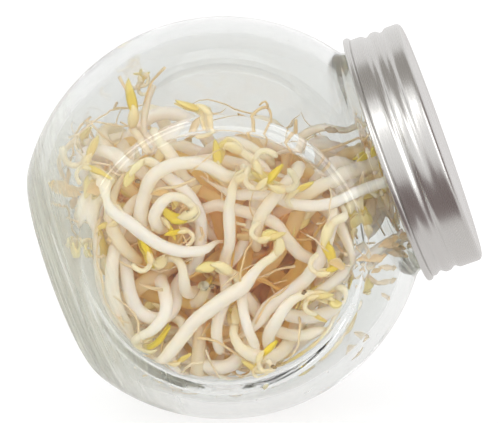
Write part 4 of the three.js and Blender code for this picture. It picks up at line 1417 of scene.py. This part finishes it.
def add_skin(bed, place, ahead, wide, length, width, curl, **marks):
    """A withered leaf or a shed seed coat: a pointed sheet that curls lengthwise and across."""
    out = ahead.cross(wide)

    def shape(across, along):
        ragged = noise.noise(Vector((across * 1.5, along * 2.5, place.x / MM)))
        half = width / 2 * max(1 - along * along, 0.01) ** 0.8 * (1 + 0.7 * ragged)
        rise = curl * (along * along + 1.2 * across * across + 0.6 * ragged)
        return place + ahead * along * length / 2 + wide * across * half + out * rise

    bed.sheet(5, 10, shape, SKIN_SHEET, **marks)


print("a skin is", round(SKIN_SHEET / MM, 2), "mm thick")

# %% Scatter the shed skins
CLINGING = (  # x, z, length, width, how brown and how far from the glass
    (-30, 10, 6.5, 2.4, 0.35, 1.5), (20.1, 22.4, 2.6, 1.1, 1.7, 0.4), (30.6, -7.2, 4.4, 1.2, 0.15, 0.3),
    (30.2, -10.4, 1.8, 0.7, 0.4, 0.3), (26, -17.7, 3, 1.6, 0.12, 0.3), (24.5, -21.3, 3.4, 1.8, 0.15, 0.3),
    (28.5, -4, 2.2, 0.8, 1.3, 0.4), (33, -1.5, 2.6, 0.9, 1.4, 0.4), (31.5, -0.5, 3, 0.8, 0.8, 0.5),
    (-2.1, -6.3, 1.2, 0.9, 2, 0.3), (-16.2, 14.6, 1.1, 0.8, 2, 0.4), (15.6, -7.5, 1.1, 0.8, 2, 0.4),
    (9.8, -22.5, 1.3, 0.9, 2, 0.4), (31, 0.6, 4.5, 1.4, 0.9, 0.5), (34.2, 0.8, 4, 1.3, 0.5, 1.2),
    (28.8, -1.8, 4, 1.3, 1.15, 0.5), (33, -3, 4.2, 1.2, 0.75, 0.5), (30.8, -4.6, 3.5, 1.1, 0.3, 0.5),
    (35.6, -1, 3.2, 1.2, 0.35, 0.8), (22, -2, 3.4, 2.2, 0.6, 1.2), (-24, 12, 3.2, 1.6, 0.5, 1.5),
    (-12, 12, 3.6, 1.2, 0.5, 2),
)
LOOSE_SKINS = 60
dice = random.Random(3)
bed = Bed()
for x, z, length, width, brown, deep in CLINGING:
    turn = dice.uniform(-0.7, 0.7)
    ahead = Vector((math.cos(turn), 0, math.sin(turn)))
    wide = Vector((-math.sin(turn), dice.uniform(-0.3, 0.3), math.cos(turn))).normalized()
    add_skin(bed, against_front(x, z, deep), ahead, wide, length * MM, width * MM,
             min(0.15 * width, 0.8 * deep) * MM, root=brown, tone=1.2)
for number in range(LOOSE_SKINS):
    place = random_start(dice, 2 * MM, 11 * MM) - Vector((0, 0, 2 * MM))
    ahead = Vector([dice.gauss(0, 1) for _ in range(3)]).normalized()
    wide = ahead.cross(Vector([dice.gauss(0, 1) for _ in range(3)])).normalized()
    width = dice.uniform(0.7, 1.7)
    add_skin(bed, place, ahead, wide, dice.uniform(3, 6.5) * MM, width * MM, 0.3 * width * MM,
             root=dice.uniform(0.2, 0.9), leaf=0 if number % 4 else 0.6, tone=0.7)
skins = hand_over("shed_skins", bed.maker, [flesh], "jar", [])
print("shed skins:", len(skins.data.polygons), "faces")

# %% [markdown]
# ## Floor and cards
#
# The jar stands on pale paper in an evenly lit room. Metal shows what it mirrors, and in a bare white
# room it would be white all over. The whole room could be modelled, but a few cards round the jar are
# enough: dull ones above, beside and low in front give the lid its darker bands, and a grey one just
# under the paper stands in for it. Only gloss sees the cards, so they never show or throw a shadow.

# %% Make sheets and cards
def flat_sheet(name, finish, size, place, normal):
    """A plain rectangle of the stage that faces along its normal."""
    maker = bmesh.new()
    bmesh.ops.create_grid(maker, x_segments=2, y_segments=2, size=0.5)
    turn = Vector(normal).to_track_quat("Z", "Y")
    change = Matrix.LocRotScale(Vector(place), turn, Vector((*size, 1)))
    bmesh.ops.transform(maker, matrix=change, verts=maker.verts)
    mesh = bpy.data.meshes.new(name)
    maker.to_mesh(mesh)
    maker.free()
    mesh.materials.append(finish.material)
    sheet = bpy.data.objects.new(name, mesh)
    bpy.context.scene.collection.objects.link(sheet)
    sheet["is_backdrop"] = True
    return sheet


def mirrored_card(name, finish, size, place, normal):
    """A card that only glossy surfaces see."""
    card = flat_sheet(name, finish, size, place, normal)
    card.visible_camera = False
    card.visible_diffuse = False
    card.visible_transmission = False
    card.visible_shadow = False


def card_finish(name, dark, light):
    """A card glows as brightly as a lit card would, so that it doesn't matter what shades it."""
    finish = Finish(name, {"Base Color": (0.02, 0.02, 0.02, 1), "Emission Strength": 1})
    finish.shade(Emission_Color=finish.mix(finish.cloud(40, 2), dark, light),
                 Roughness=0.8 + finish.cloud(500, 2) * 0.15)
    return finish


# %% Lay the paper and set up the cards
PAPER_GLOW = 0.73  # the paper glows by itself as well, so that hardly a shadow is left on it
PAPER_DARK = (0.25, 0.25, 0.25)
PAPER_PALE = (0.28, 0.28, 0.28)

paper = Finish("floor_paper", {"Emission Strength": PAPER_GLOW, "Emission Color": (1, 1, 1, 1)})
paper.shade(Base_Color=paper.mix(paper.cloud(9, 2), PAPER_DARK, PAPER_PALE),
            Roughness=0.7 + paper.cloud(300, 2) * 0.2)
dark_card = card_finish("dark_card", (0.17, 0.125, 0.12), (0.23, 0.175, 0.17))
grey_card = card_finish("grey_card", (0.77, 0.75, 0.74), (0.83, 0.815, 0.81))
dun_card = card_finish("dun_card", (0.35, 0.33, 0.31), (0.41, 0.39, 0.36))
floor = flat_sheet("floor", paper, (8, 8), (0, 0, 0), (0, 0, 1))
floor.visible_glossy = False  # gloss sees the cards just under it
mirrored_card("card_above", dun_card, (3, 0.85), (-0.1, 0.065, 1.05), (0, 0, -1))
mirrored_card("card_under", grey_card, (6, 6), (0, 0, -0.0008), (0, 0, 1))
mirrored_card("card_in_front", dark_card, (0.36, 0.25), (0.06, -0.175, -0.0004), (0, 0, 1))
mirrored_card("card_beside", dark_card, (0.8, 1.5), (1.0, 0.3, 0.1), (-1, 0, 0))
print("cards:", [item.name for item in bpy.data.objects if item.name.startswith("card")])

# %% [markdown]
# ## Light
#
# A single lamp could light the jar, but glass and metal show the shape of each lamp. So two tall soft
# boxes stand left and right of the viewer and draw bright arcs on the window's edge and streaks on the
# lid. Each has a brighter twin that only gloss sees, because arcs should be brighter than the room
# can bear. A broad box in front and a dim one overhead only fill, and gloss doesn't see them.

# %% Make a soft box
def soft_box(name, azimuth, elevation, distance, size, radiance, roll=0, mirrored=True, lights=True):
    """A soft box that faces the jar; azimuth 0 is straight in front, and more is to the right."""
    around, up = math.radians(azimuth), math.radians(elevation)
    way = Vector((math.sin(around) * math.cos(up), -math.cos(around) * math.cos(up), math.sin(up)))
    light = bpy.data.lights.new(name, "AREA")
    light.shape = "RECTANGLE"
    light.size, light.size_y = size
    light.energy = radiance * math.pi * size[0] * size[1]
    lamp = bpy.data.objects.new(name, light)
    turn = (-way).to_track_quat("-Z", "Y") @ Quaternion((0, 0, 1), math.radians(roll))
    lamp.matrix_world = Matrix.LocRotScale(ball_middle + way * distance, turn, None)
    lamp.visible_glossy = mirrored
    lamp.visible_diffuse = lights
    lamp.visible_transmission = lights
    bpy.context.scene.collection.objects.link(lamp)


print("the lamps face the ball's middle,", round(REST_HEIGHT / MM, 1), "mm above the paper")

# %% Hang the soft boxes
TWINS = (("softbox", 3.1, True), ("glare", 7.7, False))  # radiance, and whether it lights things
for name, radiance, lights in TWINS:
    soft_box("left_" + name, -42, 32, 1.4, (0.22, 1.15), radiance, roll=-37, lights=lights)
    soft_box("right_" + name, 52, 28, 1.4, (0.36, 1.4), radiance * 0.8, roll=25, lights=lights)
soft_box("overhead_softbox", 160, 75, 1.2, (1.2, 1.0), 0.5, mirrored=False)
soft_box("front_softbox", 6, 20, 1.4, (1.1, 0.8), 2.4, mirrored=False)
print("lights:", [lamp.name for lamp in bpy.data.objects if lamp.type == "LIGHT"])

# %% [markdown]
# ## The room
#
# The jar stands in a white room that lights it evenly from all sides. A picture of a studio could
# stand for the room, but glass would bend that picture into shapes that don't belong to the jar, so
# the room is plain white. Light needs many bounces here: it is led far round inside thick glass, and
# it passes from stem to stem in the heap.

# %% Light the room and let light bounce
WHITE = (1, 1, 1, 1)
world = bpy.data.worlds.new("room")
world.use_nodes = True
world.node_tree.nodes["Background"].inputs["Color"].default_value = WHITE
scene = bpy.context.scene
scene.world = world
scene.view_settings.view_transform = "Standard"
scene.cycles.max_bounces = 64
scene.cycles.glossy_bounces = 48
scene.cycles.transmission_bounces = 32
scene.cycles.diffuse_bounces = 12
print("bounces at most:", scene.cycles.max_bounces)

# %% [markdown]
# ## The size of the dressed part
#
# The dressed part is meant to fill the same box as the CAD part. The boxes could be compared by eye,
# but numbers show a tenth of a millimetre, so we print both.

# %% Print both boxes
visual_low, visual_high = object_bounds()
boxes = {
    "cad": [list(cad_low), list(cad_high)],
    "visual": [list(visual_low), list(visual_high)],
}
for name, (low, high) in boxes.items():
    print(name, "box in mm:", [round((b - a) / MM, 2) for a, b in zip(low, high)])
